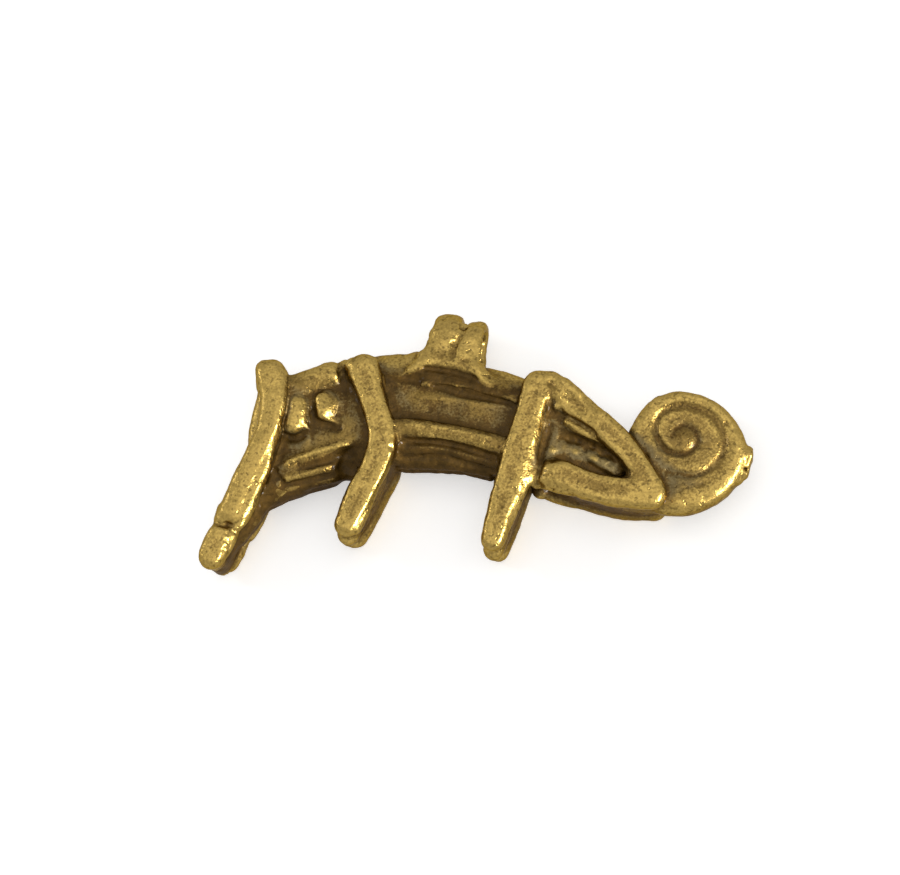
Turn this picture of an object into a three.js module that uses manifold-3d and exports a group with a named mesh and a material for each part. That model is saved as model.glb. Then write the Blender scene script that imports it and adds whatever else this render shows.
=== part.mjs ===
// A small brass chameleon amulet, cast by the lost-wax way, with a cord eye on its back.
// Each piece is one of the wax elements that the maker laid on the core: strips, threads and pellets.
// It lies on its right flank. Millimetres, X from snout to tail, Y from the feet to the back, Z up.
import * as THREE from "three";
import { mergeVertices } from "three/addons/utils/BufferGeometryUtils.js";
import Module from "manifold-3d";

const wasm = await Module();
wasm.setup();

// Fits
const seam = 0.2; // clearance between two neighbouring elements
const restFlat = 0.22; // how deep the right flank is worn flat where it lies on a table

// Trunk core: its back line and belly line, at the neck, the saddle and the hip
const trunkLength = 20; // from the neck to the hip
const saddleBehindNeck = 11; // X is 0 at the saddle
const neckBack = 8.1;
const saddleBack = 7.9;
const hipBack = 5.2;
const neckBelly = -4.0;
const saddleBelly = -3.4;
const hipBelly = -5.1;
const trunkThickness = 5.0;
const backArch = 0.8; // how far the back rises between the neck and the saddle
const bellyArch = 0.6; // and the belly

// Rump: where the trunk narrows down to the root of the tail
const rumpLength = 9.4;
const rumpDrop = 7.3; // from the back at the hip to the back at the rump's end
const rumpHeight = 5.4;
const rumpThickness = 3.9;

// Head core: the skull, from the neck to the face, and the web between the two crest bars
const headLength = 7.3;
const headThickness = 4.2;
const crownDrop = 2.6; // the skull's top is this much lower at the face than at the neck
const crownMiddleDrop = 1.35; // and halfway
const jawDrop = 3.3; // the jaw is this much lower at the face than at the neck
const jawMiddleDrop = 1.0; // and halfway
const webWidth = 3.2;
const webEndWidth = 2.3;
const webThickness = 3.0;
const webSetback = 0.6; // the web lies this far behind the bars' middle
const webShort = 0.12; // share of the beak that it leaves free

// Crest bars: one strip a side, from the crest down to the beak
const crestAhead = 7.0; // the crest's top lies this far ahead of the neck
const crestDrop = 0.2; // and this much lower
const crestArch = 0.6; // how far a bar bends back at the brow
const crestTopWidth = 3.1;
const crestWidth = 2.5;
const crestThickness = 2.3;
const crestSpread = 2.65; // from the middle plane to a bar's middle
const rightCrestBow = 2.1; // how far the right bar stands out ahead of the left one
const beakReach = 5.6; // from the face to the tip of the beak, ahead
const beakDrop = 13.2; // and down
const pelletLength = 4.6; // the lump at the lower end of each bar
const pelletWidth = 2.6;
const pelletEndWidth = 2.2;
const pelletThickness = 2.2;
const rightBeakShort = 1.5; // the right pellet ends this much sooner than the left one

// Nape rolls
const napePastNeck = 0.3; // a roll ends this far behind the neck
const napeWidth = 2.5;
const napeThickness = 2.1;
const napeSink = 0.4; // how far a roll's middle lies inside the flank of the skull

// Eyes: two half-bean pellets a side, and the thread in the slit between them
const eyeBehindFace = 4.7; // from the face to the slit
const eyeY = 2.4;
const eyeLobeWidth = 2.05;
const frontLobeHeight = 3.9;
const rearLobeHeight = 3.4;
const rearLobeLift = 0.7;
const eyeProud = 0.95;
const eyeThreadWidth = 0.65;
const eyeThreadLength = 5.6;
const eyeThreadProud = 0.45;
const eyeThreadDrop = 0.4; // its middle lies this much lower than the front lobe's

// Mouth threads
const lipWidth = 1.05;
const lipThickness = 1.2;
const lipProud = 0.5;
const lipSetback = 1.2; // from the face back to the front of the lips
const lipFrontY = -3.4;
const lipRearY = -0.4;
const lipPastNeck = 1.6; // the lips end this far behind the neck
const lowerLipFrontDrop = 1.3; // from the upper lip to the lower one, at the front
const lowerLipRearDrop = 2.0; // and at the rear
const jawThreadWidth = 0.9;
const jawThreadLength = 2.6;

// Forelegs
const shoulderBehindNeck = 2.2;
const forelegTopWidth = 3.9;
const forelegWidth = 2.75;
const forefootWidth = 2.35;
const forelegThickness = 2.3;
const forefootThickness = 2.1;
const elbowBehind = 2.7; // the elbow lies this far behind the shoulder
const elbowDrop = 9.2;
const shoulderDrop = 0.3; // from the back line down to the top of the strip
const elbowRound = 0.12; // share of each half of the leg that the bend takes
const forefootAhead = 4.4; // the foot lies this far ahead of the elbow
const forefootDrop = 9.3;
const legSpread = 2.75; // from the middle plane to the middle of a leg strip

// Hind legs
const thighBehindHip = 0.6;
const thighRise = 1.0; // the top of the strip stands this far above the back line
const hindlegTopWidth = 3.2;
const hindlegWidth = 3.0;
const hindfootWidth = 2.1;
const hindlegThickness = 2.4;
const hindfootThickness = 2.1;
const hindfootAhead = 5.4; // the foot lies this far ahead of the hip
const hindfootDrop = 18.1;

// Haunches: a strip a side, from the hip back to the knee and forward again as the shank
const haunchWidth = 2.4;
const hipBehind = 0.9; // its start, behind the top of the hind leg
const hipDrop = 1.1; // and below it
const thighBow = 0.8; // how far the thigh bows outward from the straight
const shankBow = 1.0; // and the shank
const kneeWidth = 2.85;
const shankWidth = 2.75;
const haunchThickness = 2.3;
const kneeBehind = 10.5; // from the top of the thigh to the knee
const kneeDrop = 12.3;
const shankLength = 10.3;
const shankRise = 2.3; // the shank's front end stands this much above the knee
const haunchThreadWidth = 0.9;
const haunchThreadProud = 0.85;
const haunchThreadStart = 0.24; // share of the way from the hip to the knee
const haunchThreadStartInset = 2.5; // from the middle of the thigh strip
const haunchThreadEnd = 0.6;
const haunchThreadEndInset = 1.75;

// Flank threads: the width of each, and how far it stands proud of the core
const upperRibWidth = 1.0;
const upperRibProud = 0.45;
const middleRibWidth = 1.9;
const middleRibProud = 0.85;
const lowerRibWidth = 0.95;
const lowerRibProud = 0.45;
const bellyThreadWidth = 1.0;
const bellyThreadProud = 0.35;

// Foot webs: the metal that joins the two feet of a pair
const forefootWebWidth = 2.6;
const forefootWebLength = 2.0;
const hindfootWebWidth = 2.2;
const hindfootWebLength = 5.6;
const webPastFoot = 0.45; // how far a web runs past the ends of its two strips

// Cord eye on the back: two threads bent side by side over a cord
const eyeHole = 2.7; // the way through, across the body
const cordEyeAhead = 0.85; // from the saddle
const cordEyeLean = 0.95; // the threads lean back this far from foot to top
const frontThreadWidth = 2.9;
const rearThreadWidth = 2.2;
const cordThreadThickness = 1.35;
const cordFootFlare = 0.9; // each thread is this much wider at its feet
const cordEyeRise = 4.85; // from the back line to the top of the front thread
const rearThreadDip = 0.8; // the rear thread is this much lower
const saddleAhead = 4.1; // from the saddle's middle to its front end
const saddleBehind = 6.4; // and to its rear end
const saddleWidth = 2.3;
const saddleEndWidth = 1.0;
const saddleDrop = 1.1; // from the back line down to the saddle's middle
const saddleFrontDrop = 2.4; // down to its front end
const saddleRearDrop = 2.9; // and down to its rear end
const saddleThickness = 1.7;
const saddleEndThickness = 1.2;
const saddleProud = 1.0; // how far its middle stands out from the flank

// Tail: a strip rolled up from the rump. The outer edge of the roll is measured from its middle,
// a quarter turn apart, from the root of the tail to its tip.
const coilBehindKnee = 3.5;
const coilAboveKnee = 5.35;
const coilEdge = [8.1, 6.35, 4.65, 5.5, 3.9, 3.8, 3.1, 3.45, 1.85, 1.4, 1.2, 1.45, 0.2, -0.5];
const coilStart = -120; // degrees, where the roll leaves the rump
const coilTurns = 2.2;
const coilGap = 0.46; // between one turn and the next
const coilThickness = 3.2;
const coilEyeThickness = 2.6;
const tailRootLength = 3.6;
const tailRootHeight = 3.6;
const tailRootDome = 0.3; // how far its hidden end is domed
const coilTipLength = 0.75; // the rounding of the tail's tip

// Stub of the casting gate on the coil's rim
const stubProud = 0.7;
const stubWidth = 1.0;
const stubNeckWidth = 0.55; // between its two lumps
const stubThickness = 1.9;
const stubStart = -36; // degrees round the coil
const stubEnd = -8;

const brass = new THREE.MeshStandardMaterial({ color: 0x9a7b35, roughness: 0.42, metalness: 0.95 });
const brownedBrass = new THREE.MeshStandardMaterial({ color: 0x6a4f24, roughness: 0.55, metalness: 0.85 });
const rubbedBrass = new THREE.MeshStandardMaterial({ color: 0xb08f42, roughness: 0.35, metalness: 1 });

const at = (x, y, z = 0) => new THREE.Vector3(x, y, z);
const degrees = THREE.MathUtils.degToRad;
const mix = THREE.MathUtils.lerp;
const upward = at(0, 0, 1);

// Solids

function solid(geometry) {
  const bare = geometry.clone();
  bare.deleteAttribute("normal");
  bare.deleteAttribute("uv");
  const merged = mergeVertices(bare, 1e-4);
  return new wasm.Manifold(
    new wasm.Mesh({
      numProp: 3,
      vertProperties: merged.attributes.position.array,
      triVerts: new Uint32Array(merged.index.array),
    }),
  );
}

function geometryOf(made) {
  const mesh = made.getMesh();
  const geometry = new THREE.BufferGeometry();
  geometry.setAttribute("position", new THREE.BufferAttribute(mesh.vertProperties, 3));
  geometry.setIndex(new THREE.BufferAttribute(mesh.triVerts, 1));
  geometry.computeVertexNormals();
  return geometry;
}

// A closed skin over rings of points, which run the same way round, with a point at each end.
function loft(first, rings, last) {
  const sides = rings[0].length;
  const points = [first, ...rings.flat(), last];
  const corner = (ring, i) => 1 + ring * sides + (i % sides);
  const faces = [];
  for (let i = 0; i < sides; i++) {
    faces.push(0, corner(0, i + 1), corner(0, i));
    for (let ring = 0; ring + 1 < rings.length; ring++) {
      faces.push(corner(ring, i), corner(ring, i + 1), corner(ring + 1, i + 1));
      faces.push(corner(ring, i), corner(ring + 1, i + 1), corner(ring + 1, i));
    }
    faces.push(points.length - 1, corner(rings.length - 1, i), corner(rings.length - 1, i + 1));
  }
  const geometry = new THREE.BufferGeometry().setFromPoints(points);
  geometry.setIndex(faces);
  return geometry;
}

// A rounded section: an ellipse at power 2, squarer above it.
function section(centre, across, up, width, thickness, sides, power) {
  const bulge = (value) => Math.sign(value) * Math.abs(value) ** (2 / power);
  return Array.from({ length: sides }, (_, i) => {
    const angle = (2 * Math.PI * (i + 0.5)) / sides;
    return centre
      .clone()
      .addScaledVector(across, (bulge(Math.cos(angle)) * width) / 2)
      .addScaledVector(up, (bulge(Math.sin(angle)) * thickness) / 2);
  });
}

const domeAngles = [degrees(28), degrees(60)];

// A strip of wax along a route, with domed ends. Each stop is [place, width, thickness].
// grow makes the same strip larger all round: as a cutter it leaves that clearance.
function strip(stops, up, grow = 0, { steps = 8, sides = 12, power = 2.8 } = {}) {
  const route = new THREE.CatmullRomCurve3(stops.map((stop) => stop[0]));
  const sizes = new THREE.CatmullRomCurve3(stops.map((stop) => at(stop[1], stop[2])));
  const length = route.getLength();
  const startDome = Math.min(stops[0][1], length) / 2;
  const endDome = Math.min(stops[stops.length - 1][1], length) / 2;
  const cuts = [
    ...domeAngles.map((angle) => [startDome * (1 - Math.cos(angle)), angle, -1]),
    ...Array.from({ length: steps + 1 }, (_, i) => mix(startDome, length - endDome, i / steps)).map(
      (run) => [run, Math.PI / 2, 0],
    ),
    ...domeAngles.toReversed().map((angle) => [length - endDome * (1 - Math.cos(angle)), angle, 1]),
  ];
  const rings = cuts.map(([run, angle, end]) => {
    const t = route.getUtoTmapping(run / length);
    const along = route.getTangent(t);
    const facing = typeof up === "function" ? up(route.getPoint(t)) : up;
    const across = new THREE.Vector3().crossVectors(facing, along).normalize();
    const over = new THREE.Vector3().crossVectors(along, across);
    const size = sizes.getPoint(t);
    const centre = route.getPoint(t).addScaledVector(along, end * grow * Math.cos(angle));
    const [width, thickness] = [size.x, size.y].map((value) => (value + 2 * grow) * Math.sin(angle));
    return section(centre, across, over, width, thickness, sides, power);
  });
  const first = route.getPoint(0).addScaledVector(route.getTangent(0), -grow);
  const last = route.getPoint(1).addScaledVector(route.getTangent(1), grow);
  return solid(loft(first, rings, last));
}

const cut = (piece, ...cutters) => cutters.reduce((left, cutter) => left.subtract(cutter), piece);

// A line over X through points, read by its x.
function lineThrough(points) {
  const curve = new THREE.CatmullRomCurve3(points.map(([x, y]) => at(x, y)), false, "centripetal");
  const samples = curve.getPoints(200);
  return (x) => {
    const next = samples.findIndex((point) => point.x >= x);
    if (next <= 0) return samples[next === 0 ? 0 : samples.length - 1].y;
    const [a, b] = [samples[next - 1], samples[next]];
    return mix(a.y, b.y, (x - a.x) / (b.x - a.x));
  };
}

// A core of wax between a top line and a bottom line, from one X to another.
const corePower = 2.7;
function core(fromX, toX, top, bottom, thicknessAt, stations) {
  const flank = (x, y) => {
    const off = Math.min(1, Math.abs((2 * y - top(x) - bottom(x)) / (top(x) - bottom(x))));
    return (thicknessAt(x) / 2) * (1 - off ** corePower) ** (1 / corePower);
  };
  // A place on the flank of one side, raised off it, and the outward direction there.
  const onFlank = (x, y, side, raise) => at(x, y, side * (flank(x, y) + raise));
  const facing = (side) => (place) => {
    const step = 0.3;
    const slopeX = (flank(place.x + step, place.y) - flank(place.x - step, place.y)) / (2 * step);
    const slopeY = (flank(place.x, place.y + step) - flank(place.x, place.y - step)) / (2 * step);
    return at(-slopeX, -slopeY, side);
  };
  const make = (grow = 0) => {
    const dome = thicknessAt(fromX) / 2;
    const ring = (x, share, shift) => {
      const middle = at(x + shift, (top(x) + bottom(x)) / 2);
      const height = top(x) - bottom(x) + 2 * grow;
      const thickness = thicknessAt(x) + 2 * grow;
      return section(middle, at(0, 1), upward, height * share, thickness * share, 20, corePower);
    };
    const endRing = (x, angle, end) =>
      ring(x - end * dome * (1 - Math.cos(angle)), Math.sin(angle), end * grow * Math.cos(angle));
    const rings = [
      ...domeAngles.map((angle) => endRing(fromX, angle, -1)),
      ...Array.from({ length: stations + 1 }, (_, i) => mix(fromX + dome, toX - dome, i / stations)).map(
        (x) => ring(x, 1, 0),
      ),
      ...domeAngles.toReversed().map((angle) => endRing(toX, angle, 1)),
    ];
    const tip = (x, end) => at(x + end * grow, (top(x) + bottom(x)) / 2);
    return solid(loft(tip(fromX, -1), rings, tip(toX, 1)));
  };
  return { onFlank, facing, make };
}

// Trunk core

const saddleX = 0;
const neckX = saddleX - saddleBehindNeck;
const hipX = neckX + trunkLength;
const rumpX = hipX + rumpLength;
const backLine = lineThrough([
  [neckX, neckBack],
  [(neckX + saddleX) / 2, (neckBack + saddleBack) / 2 + backArch],
  [saddleX, saddleBack],
  [hipX, hipBack],
  [rumpX, hipBack - rumpDrop],
]);
const bellyLine = lineThrough([
  [neckX, neckBelly],
  [(neckX + saddleX) / 2, (neckBelly + saddleBelly) / 2 + bellyArch],
  [saddleX, saddleBelly],
  [hipX, hipBelly],
  [rumpX, hipBack - rumpDrop - rumpHeight],
]);
const rumpShare = (x) => THREE.MathUtils.smoothstep(x, hipX, rumpX);
const trunkThicknessAt = (x) => mix(trunkThickness, rumpThickness, rumpShare(x));
const trunk = core(neckX, rumpX, backLine, bellyLine, trunkThicknessAt, 14);
const trunkCutter = trunk.make(seam);

// Head core

const faceX = neckX - headLength;
const crestTop = at(neckX - crestAhead, neckBack - crestDrop);
const beakTip = at(faceX - beakReach, -beakDrop);
const skullRearX = neckX + trunkThickness / 2;
const crownLine = lineThrough([
  [faceX, neckBack - crownDrop],
  [(faceX + neckX) / 2, neckBack - crownMiddleDrop],
  [skullRearX, neckBack],
]);
const jawLine = lineThrough([
  [faceX, neckBelly - jawDrop],
  [(faceX + neckX) / 2, neckBelly - jawMiddleDrop],
  [skullRearX, neckBelly],
]);
const skull = core(faceX, skullRearX, crownLine, jawLine, () => headThickness, 8);

// The route of a crest bar down to the tip of its pellet, bowed ahead by some way.
function crestRoute(z, bow) {
  const eyeLevel = at(faceX, 0, z);
  const beakAxis = at(beakTip.x, beakTip.y, z).sub(eyeLevel);
  const along = (share) => eyeLevel.clone().addScaledVector(beakAxis, share);
  return {
    top: crestTop.clone().setZ(z),
    brow: at(crestTop.x + crestArch - bow, crestTop.y / 2, z),
    face: eyeLevel.clone().add(at(crestArch / 2 - bow, crestArch)),
    cheek: along(1 / 3),
    beak: along(1 - pelletLength / beakAxis.length()),
    tip: along(1),
  };
}

function headCore(grow = 0) {
  const { top, brow, face, cheek, tip } = crestRoute(0, 0);
  const behind = at(webSetback, 0);
  const stops = [
    [top.add(at(webSetback / 2, -webSetback)), webEndWidth, webThickness],
    [brow.add(behind), webWidth, webThickness],
    [face.add(behind), webWidth, webThickness],
    [cheek.clone().add(behind), webWidth, webThickness],
    [tip.lerp(cheek, webShort), webEndWidth, webThickness],
  ];
  return skull.make(grow).add(strip(stops, upward, grow));
}
const headCutter = headCore(seam).add(trunkCutter);

function crestBar(side, grow = 0) {
  const { top, brow, face, cheek, beak } = crestRoute(side * crestSpread, side < 0 ? rightCrestBow : 0);
  const stops = [
    [top, crestTopWidth, crestThickness],
    [brow, (crestTopWidth + crestWidth) / 2, crestThickness],
    [face, crestWidth, crestThickness],
    [cheek, crestWidth, crestThickness],
    [beak, crestWidth, crestThickness],
  ];
  return strip(stops, at(0, 0, side), grow, { steps: 10 });
}

function snoutPellet(side) {
  const { beak, tip } = crestRoute(side * crestSpread, 0);
  if (side < 0) tip.lerp(beak, rightBeakShort / pelletLength);
  const stops = [
    [beak, pelletEndWidth, pelletThickness],
    [beak.clone().lerp(tip, 0.5), pelletWidth, pelletThickness],
    [tip, pelletEndWidth, pelletThickness],
  ];
  return strip(stops, at(0, 0, side), 0, { steps: 3 });
}

const napeRearX = neckX + napePastNeck;
function napeRoll(side, grow = 0) {
  const y = neckBack - napeWidth / 2;
  const z = side * (headThickness / 2 - napeSink);
  const stops = [
    [at(crestTop.x, y - crownDrop, z), napeWidth, napeThickness],
    [at((crestTop.x + napeRearX) / 2, y - crownMiddleDrop, z), napeWidth, napeThickness],
    [at(napeRearX, y, z), napeWidth, napeThickness],
  ];
  return strip(stops, at(0, 0, side), grow, { steps: 5 });
}

// Eyes

const eyeX = faceX + eyeBehindFace;
function eyeLobe(side, offset, lift, height) {
  const seat = skull.onFlank(eyeX + offset, eyeY + lift, side, 0);
  const lobe = new THREE.SphereGeometry(0.5, 14, 10);
  lobe.scale(eyeLobeWidth, height, eyeProud * 2);
  return solid(lobe.translate(seat.x, seat.y, seat.z));
}

const lobeOffset = (eyeThreadWidth + eyeLobeWidth) / 2 + seam / 2;

function eyeThread(side, grow = 0) {
  const thickness = eyeThreadProud * 2;
  const heights = [eyeThreadLength / 2, 0, -eyeThreadLength / 2].map((rise) => eyeY - eyeThreadDrop + rise);
  const stops = heights.map((y) => [skull.onFlank(eyeX, y, side, 0), eyeThreadWidth, thickness]);
  return strip(stops, at(0, 0, side), grow, { steps: 5, sides: 8 });
}

// Mouth

const lipFrontX = faceX + lipSetback;
const lipRearX = neckX + lipPastNeck;
function lipThread(side, frontDrop, rearDrop, grow) {
  const place = (share) => {
    const x = mix(lipFrontX, lipRearX, share);
    const y = mix(lipFrontY - frontDrop, lipRearY - rearDrop, share);
    return [skull.onFlank(x, y, side, lipProud - lipThickness / 2), lipWidth, lipThickness];
  };
  return strip([0, 1 / 3, 2 / 3, 1].map(place), skull.facing(side), grow, { steps: 7, sides: 8 });
}

function jawThread(side) {
  const place = (share) => {
    const x = lipFrontX + share * jawThreadLength;
    return [skull.onFlank(x, jawLine(x) + jawThreadWidth, side, 0), jawThreadWidth, jawThreadWidth];
  };
  return strip([0, 0.5, 1].map(place), skull.facing(side), 0, { steps: 4, sides: 8 });
}

// Legs

const shoulderX = neckX + shoulderBehindNeck;
function foreleg(side, grow = 0) {
  const z = side * legSpread;
  const top = at(shoulderX, backLine(shoulderX) - shoulderDrop, z);
  const elbow = at(top.x + elbowBehind, top.y - elbowDrop, z);
  const foot = at(elbow.x - forefootAhead, elbow.y - forefootDrop, z);
  const stops = [
    [top, forelegTopWidth, forelegThickness],
    [top.clone().lerp(elbow, 0.4), forelegWidth, forelegThickness],
    [elbow.clone().lerp(top, elbowRound), forelegWidth, forelegThickness],
    [elbow.clone().lerp(foot, elbowRound), forelegWidth, forelegThickness],
    [elbow.clone().lerp(foot, 0.6), forelegWidth, forelegThickness],
    [foot, forefootWidth, forefootThickness],
  ];
  return { stops, made: strip(stops, at(0, 0, side), grow, { steps: 12 }) };
}

const thighTopX = hipX + thighBehindHip;
const thighTop = (z) => at(thighTopX, backLine(thighTopX) + thighRise, z);

function hindleg(side, grow = 0) {
  const top = thighTop(side * legSpread);
  const foot = at(top.x - hindfootAhead, top.y - hindfootDrop, side * legSpread);
  const stops = [
    [top, hindlegTopWidth, hindlegThickness],
    [top.clone().lerp(foot, 1 / 3), hindlegWidth, hindlegThickness],
    [top.clone().lerp(foot, 2 / 3), hindlegWidth, hindlegThickness],
    [foot, hindfootWidth, hindfootThickness],
  ];
  return { stops, made: strip(stops, at(0, 0, side), grow, { steps: 10 }) };
}

const kneeAt = (z) => thighTop(z).add(at(kneeBehind, -kneeDrop));

// The straight from the hip to the knee, and its outward direction.
function haunchLine(z) {
  const hip = thighTop(z).add(at(hipBehind, -hipDrop));
  const knee = kneeAt(z);
  return { hip, knee, outward: at(hip.y - knee.y, knee.x - hip.x).normalize() };
}

function haunch(side, grow = 0) {
  const z = side * legSpread;
  const { hip, knee, outward } = haunchLine(z);
  const shankFront = knee.clone().add(at(-shankLength, shankRise));
  const thigh = [
    [hip, haunchWidth, haunchThickness],
    [hip.clone().lerp(knee, 0.3).addScaledVector(outward, thighBow / 2), haunchWidth, haunchThickness],
    [hip.clone().lerp(knee, 0.65).addScaledVector(outward, thighBow), haunchWidth, haunchThickness],
    [knee.clone().add(at(kneeWidth / 4, -kneeWidth / 2)), kneeWidth, haunchThickness],
  ];
  const shank = [
    [knee.clone().add(at(kneeWidth / 2, -kneeWidth / 4)), kneeWidth, haunchThickness],
    [knee.clone().lerp(shankFront, 0.45).add(at(0, -shankBow)), shankWidth, haunchThickness],
    [shankFront, shankWidth, haunchThickness],
  ];
  const facing = at(0, 0, side);
  return strip(thigh, facing, grow).add(strip(shank, facing, grow));
}

function haunchThread(side) {
  const { hip, knee, outward } = haunchLine(0);
  const thickness = haunchThreadProud * 2;
  const place = (run) => {
    const share = mix(haunchThreadStart, haunchThreadEnd, run);
    const inset = mix(haunchThreadStartInset, haunchThreadEndInset, run);
    const { x, y } = hip.clone().lerp(knee, share).addScaledVector(outward, thighBow - inset);
    return [trunk.onFlank(x, y, side, haunchThreadProud - thickness / 2), haunchThreadWidth, thickness];
  };
  return strip([0, 0.5, 1].map(place), at(0, 0, side), 0, { steps: 4, sides: 8 });
}

// Flank threads, from under the foreleg to under the hind leg

const flankFrontX = shoulderX + elbowBehind - forelegWidth / 4;
const flankRearX = thighTopX - hindfootAhead / 2 + hindlegWidth / 8;
// Each thread's share of the flank at its front and at its rear, from the back line to the belly line
const flankThreads = [
  { name: "upper_rib", front: 0.275, rear: 0.29, width: upperRibWidth, proud: upperRibProud },
  { name: "middle_rib", front: 0.69, rear: 0.76, width: middleRibWidth, proud: middleRibProud },
  { name: "lower_rib", front: 0.84, rear: 0.9, width: lowerRibWidth, proud: lowerRibProud },
  { name: "belly_thread", front: 0.945, rear: 0.965, width: bellyThreadWidth, proud: bellyThreadProud },
];
function flankThread(side, { front, rear, width, proud }) {
  const thickness = Math.min(width, proud * 2);
  const place = (run) => {
    const x = mix(flankFrontX, flankRearX, run);
    const y = mix(backLine(x), bellyLine(x), mix(front, rear, run));
    return [trunk.onFlank(x, y, side, proud - thickness / 2), width, thickness];
  };
  return strip([0, 0.25, 0.5, 0.75, 1].map(place), trunk.facing(side), 0, { steps: 8, sides: 8 });
}

// Foot webs lie between the two strips of a pair, at their feet.
function footWeb(stops, width, length, stripThickness) {
  const [ankle, foot] = stops.slice(-2).map((stop) => stop[0].clone().setZ(0));
  const away = ankle.clone().sub(foot).setLength(length);
  const thickness = 2 * legSpread - stripThickness - 2 * seam;
  const runs = [-webPastFoot / length, 0.5, 1];
  const route = runs.map((run) => foot.clone().addScaledVector(away, run));
  return strip(route.map((end) => [end, width, thickness]), upward, 0, { steps: 3 });
}

// Cord eye

const cordEyeX = saddleX - cordEyeAhead;
const rearThreadX = cordEyeX + (frontThreadWidth + rearThreadWidth) / 2 + seam;

function saddle(side, grow = 0) {
  const y = backLine(saddleX) - saddleDrop;
  const z = trunk.onFlank(saddleX, y, side, saddleProud - saddleThickness / 2).z;
  const place = (share, drop) => {
    const x = saddleX + mix(-saddleAhead, saddleBehind, share);
    return at(x, backLine(x) - drop, z);
  };
  const stops = [
    [place(0, saddleFrontDrop), saddleEndWidth, saddleEndThickness],
    [place(0.25, saddleDrop), saddleWidth, saddleThickness],
    [place(0.55, saddleDrop), saddleWidth, saddleThickness],
    [place(1, saddleRearDrop), saddleEndWidth, saddleEndThickness],
  ];
  return strip(stops, at(0, 0, side), grow, { steps: 8 });
}

const archSteps = 6;
function cordThread(x, width, rise, grow = 0) {
  const reach = (eyeHole + cordThreadThickness) / 2;
  const foot = saddleBack - saddleDrop;
  const top = saddleBack + rise - cordThreadThickness / 2;
  const arch = Array.from({ length: archSteps + 1 }, (_, i) => {
    const angle = (Math.PI * i) / archSteps;
    return [top - reach + reach * Math.sin(angle), reach * Math.cos(angle)];
  });
  const lean = (y) => x + (cordEyeLean * (y - foot)) / (top - foot);
  const stops = [[foot, reach], ...arch, [foot, -reach]].map(([y, z]) => {
    const flare = y === foot ? cordFootFlare : 0;
    return [at(lean(y) - flare / 2, y, z), width + flare, cordThreadThickness];
  });
  const outward = (place) => at(0, Math.max(0, place.y - (top - reach)), place.z);
  return strip(stops, outward, grow, { steps: 14 });
}

// Tail

const coilCentre = kneeAt(0).add(at(coilBehindKnee, coilAboveKnee));
const coilSides = 14;
const coilStepsPerTurn = 28;
const coilPower = 2.8;
const coilTipRings = [
  [0.35, 0.85],
  [0.65, 0.5],
];
const coilEdgeCurve = new THREE.CatmullRomCurve3(coilEdge.map((radius, i) => at(i, radius)));
const coilEdgeAt = (turns) => coilEdgeCurve.getPoint((turns * 4) / (coilEdge.length - 1)).y;
const coilPlace = (turns, radius) => {
  const angle = degrees(coilStart + 360 * turns);
  return at(coilCentre.x + radius * Math.cos(angle), coilCentre.y + radius * Math.sin(angle));
};

// The outer and the inner edge of the rolled strip, so many turns in from the root.
function coilEdges(turns) {
  return [coilPlace(turns, coilEdgeAt(turns)), coilPlace(turns, coilEdgeAt(turns + 1) + coilGap)];
}

function tail(grow = 0) {
  const steps = Math.round(coilTurns * coilStepsPerTurn);
  const coilRing = (turns, share, shift) => {
    const [outer, inner] = coilEdges(turns);
    const across = inner.clone().sub(outer);
    const along = new THREE.Vector3().crossVectors(across, upward).normalize();
    const centre = outer.lerp(inner, 0.5).addScaledVector(along, shift);
    const width = (across.length() + 2 * grow) * share;
    const thickness = (mix(coilThickness, coilEyeThickness, turns / coilTurns) + 2 * grow) * share;
    const points = section(centre, across.normalize(), upward, width, thickness, coilSides, coilPower);
    return { centre, along, points };
  };
  const whole = Array.from({ length: steps + 1 }, (_, i) => coilRing((coilTurns * i) / steps, 1, 0));
  const [root, tip] = [whole[0], whole[steps]];
  const back = root.along.clone().negate();
  const across = new THREE.Vector3().crossVectors(upward, root.along);
  const rootRing = (run, height) =>
    section(
      root.centre.clone().addScaledVector(back, run + (run === tailRootLength ? grow : 0)),
      across,
      upward,
      height + 2 * grow,
      coilThickness + 2 * grow,
      coilSides,
      coilPower,
    );
  const tipRings = coilTipRings.map(([shift, share]) => coilRing(coilTurns, share, shift * (1 + grow)));
  const rings = [
    rootRing(tailRootLength, tailRootHeight),
    rootRing(tailRootLength / 2, tailRootHeight),
    ...whole.map((ring) => ring.points),
    ...tipRings.map((ring) => ring.points),
  ];
  const first = root.centre.clone().addScaledVector(back, tailRootLength + grow + tailRootDome);
  const last = tip.centre.clone().addScaledVector(tip.along, coilTipLength + grow);
  return solid(loft(first, rings, last));
}

function gateStub() {
  const turnsAt = (angle) => (angle - coilStart) / 360;
  const place = (share, width) => {
    const turns = turnsAt(mix(stubStart, stubEnd, share));
    const centre = coilPlace(turns, coilEdgeAt(turns) + stubProud - stubWidth / 2);
    return [centre, width, stubThickness];
  };
  const neck = [0.3, 0.7].map((share) => place(share, stubNeckWidth));
  return strip([place(0, stubWidth), ...neck, place(1, stubWidth)], upward, 0, { steps: 6, sides: 8 });
}

// Assembly: every element is cut back from what it lies on, so that a seam runs round it.

const regionNames = ["head", "body", "forelegs", "hindquarters", "cordEye", "tail"];
const region = Object.fromEntries(regionNames.map((name) => [name, new THREE.Group()]));
const pendant = new THREE.Group();
pendant.add(...Object.values(region));

// Puts a mesh of its own at the middle of its solid.
function place(group, name, made, material) {
  const geometry = geometryOf(made);
  geometry.computeBoundingBox();
  const centre = geometry.boundingBox.getCenter(at(0, 0));
  geometry.translate(-centre.x, -centre.y, -centre.z);
  const mesh = new THREE.Mesh(geometry, material.clone());
  mesh.name = name;
  mesh.position.copy(centre);
  group.add(mesh);
}

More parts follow.
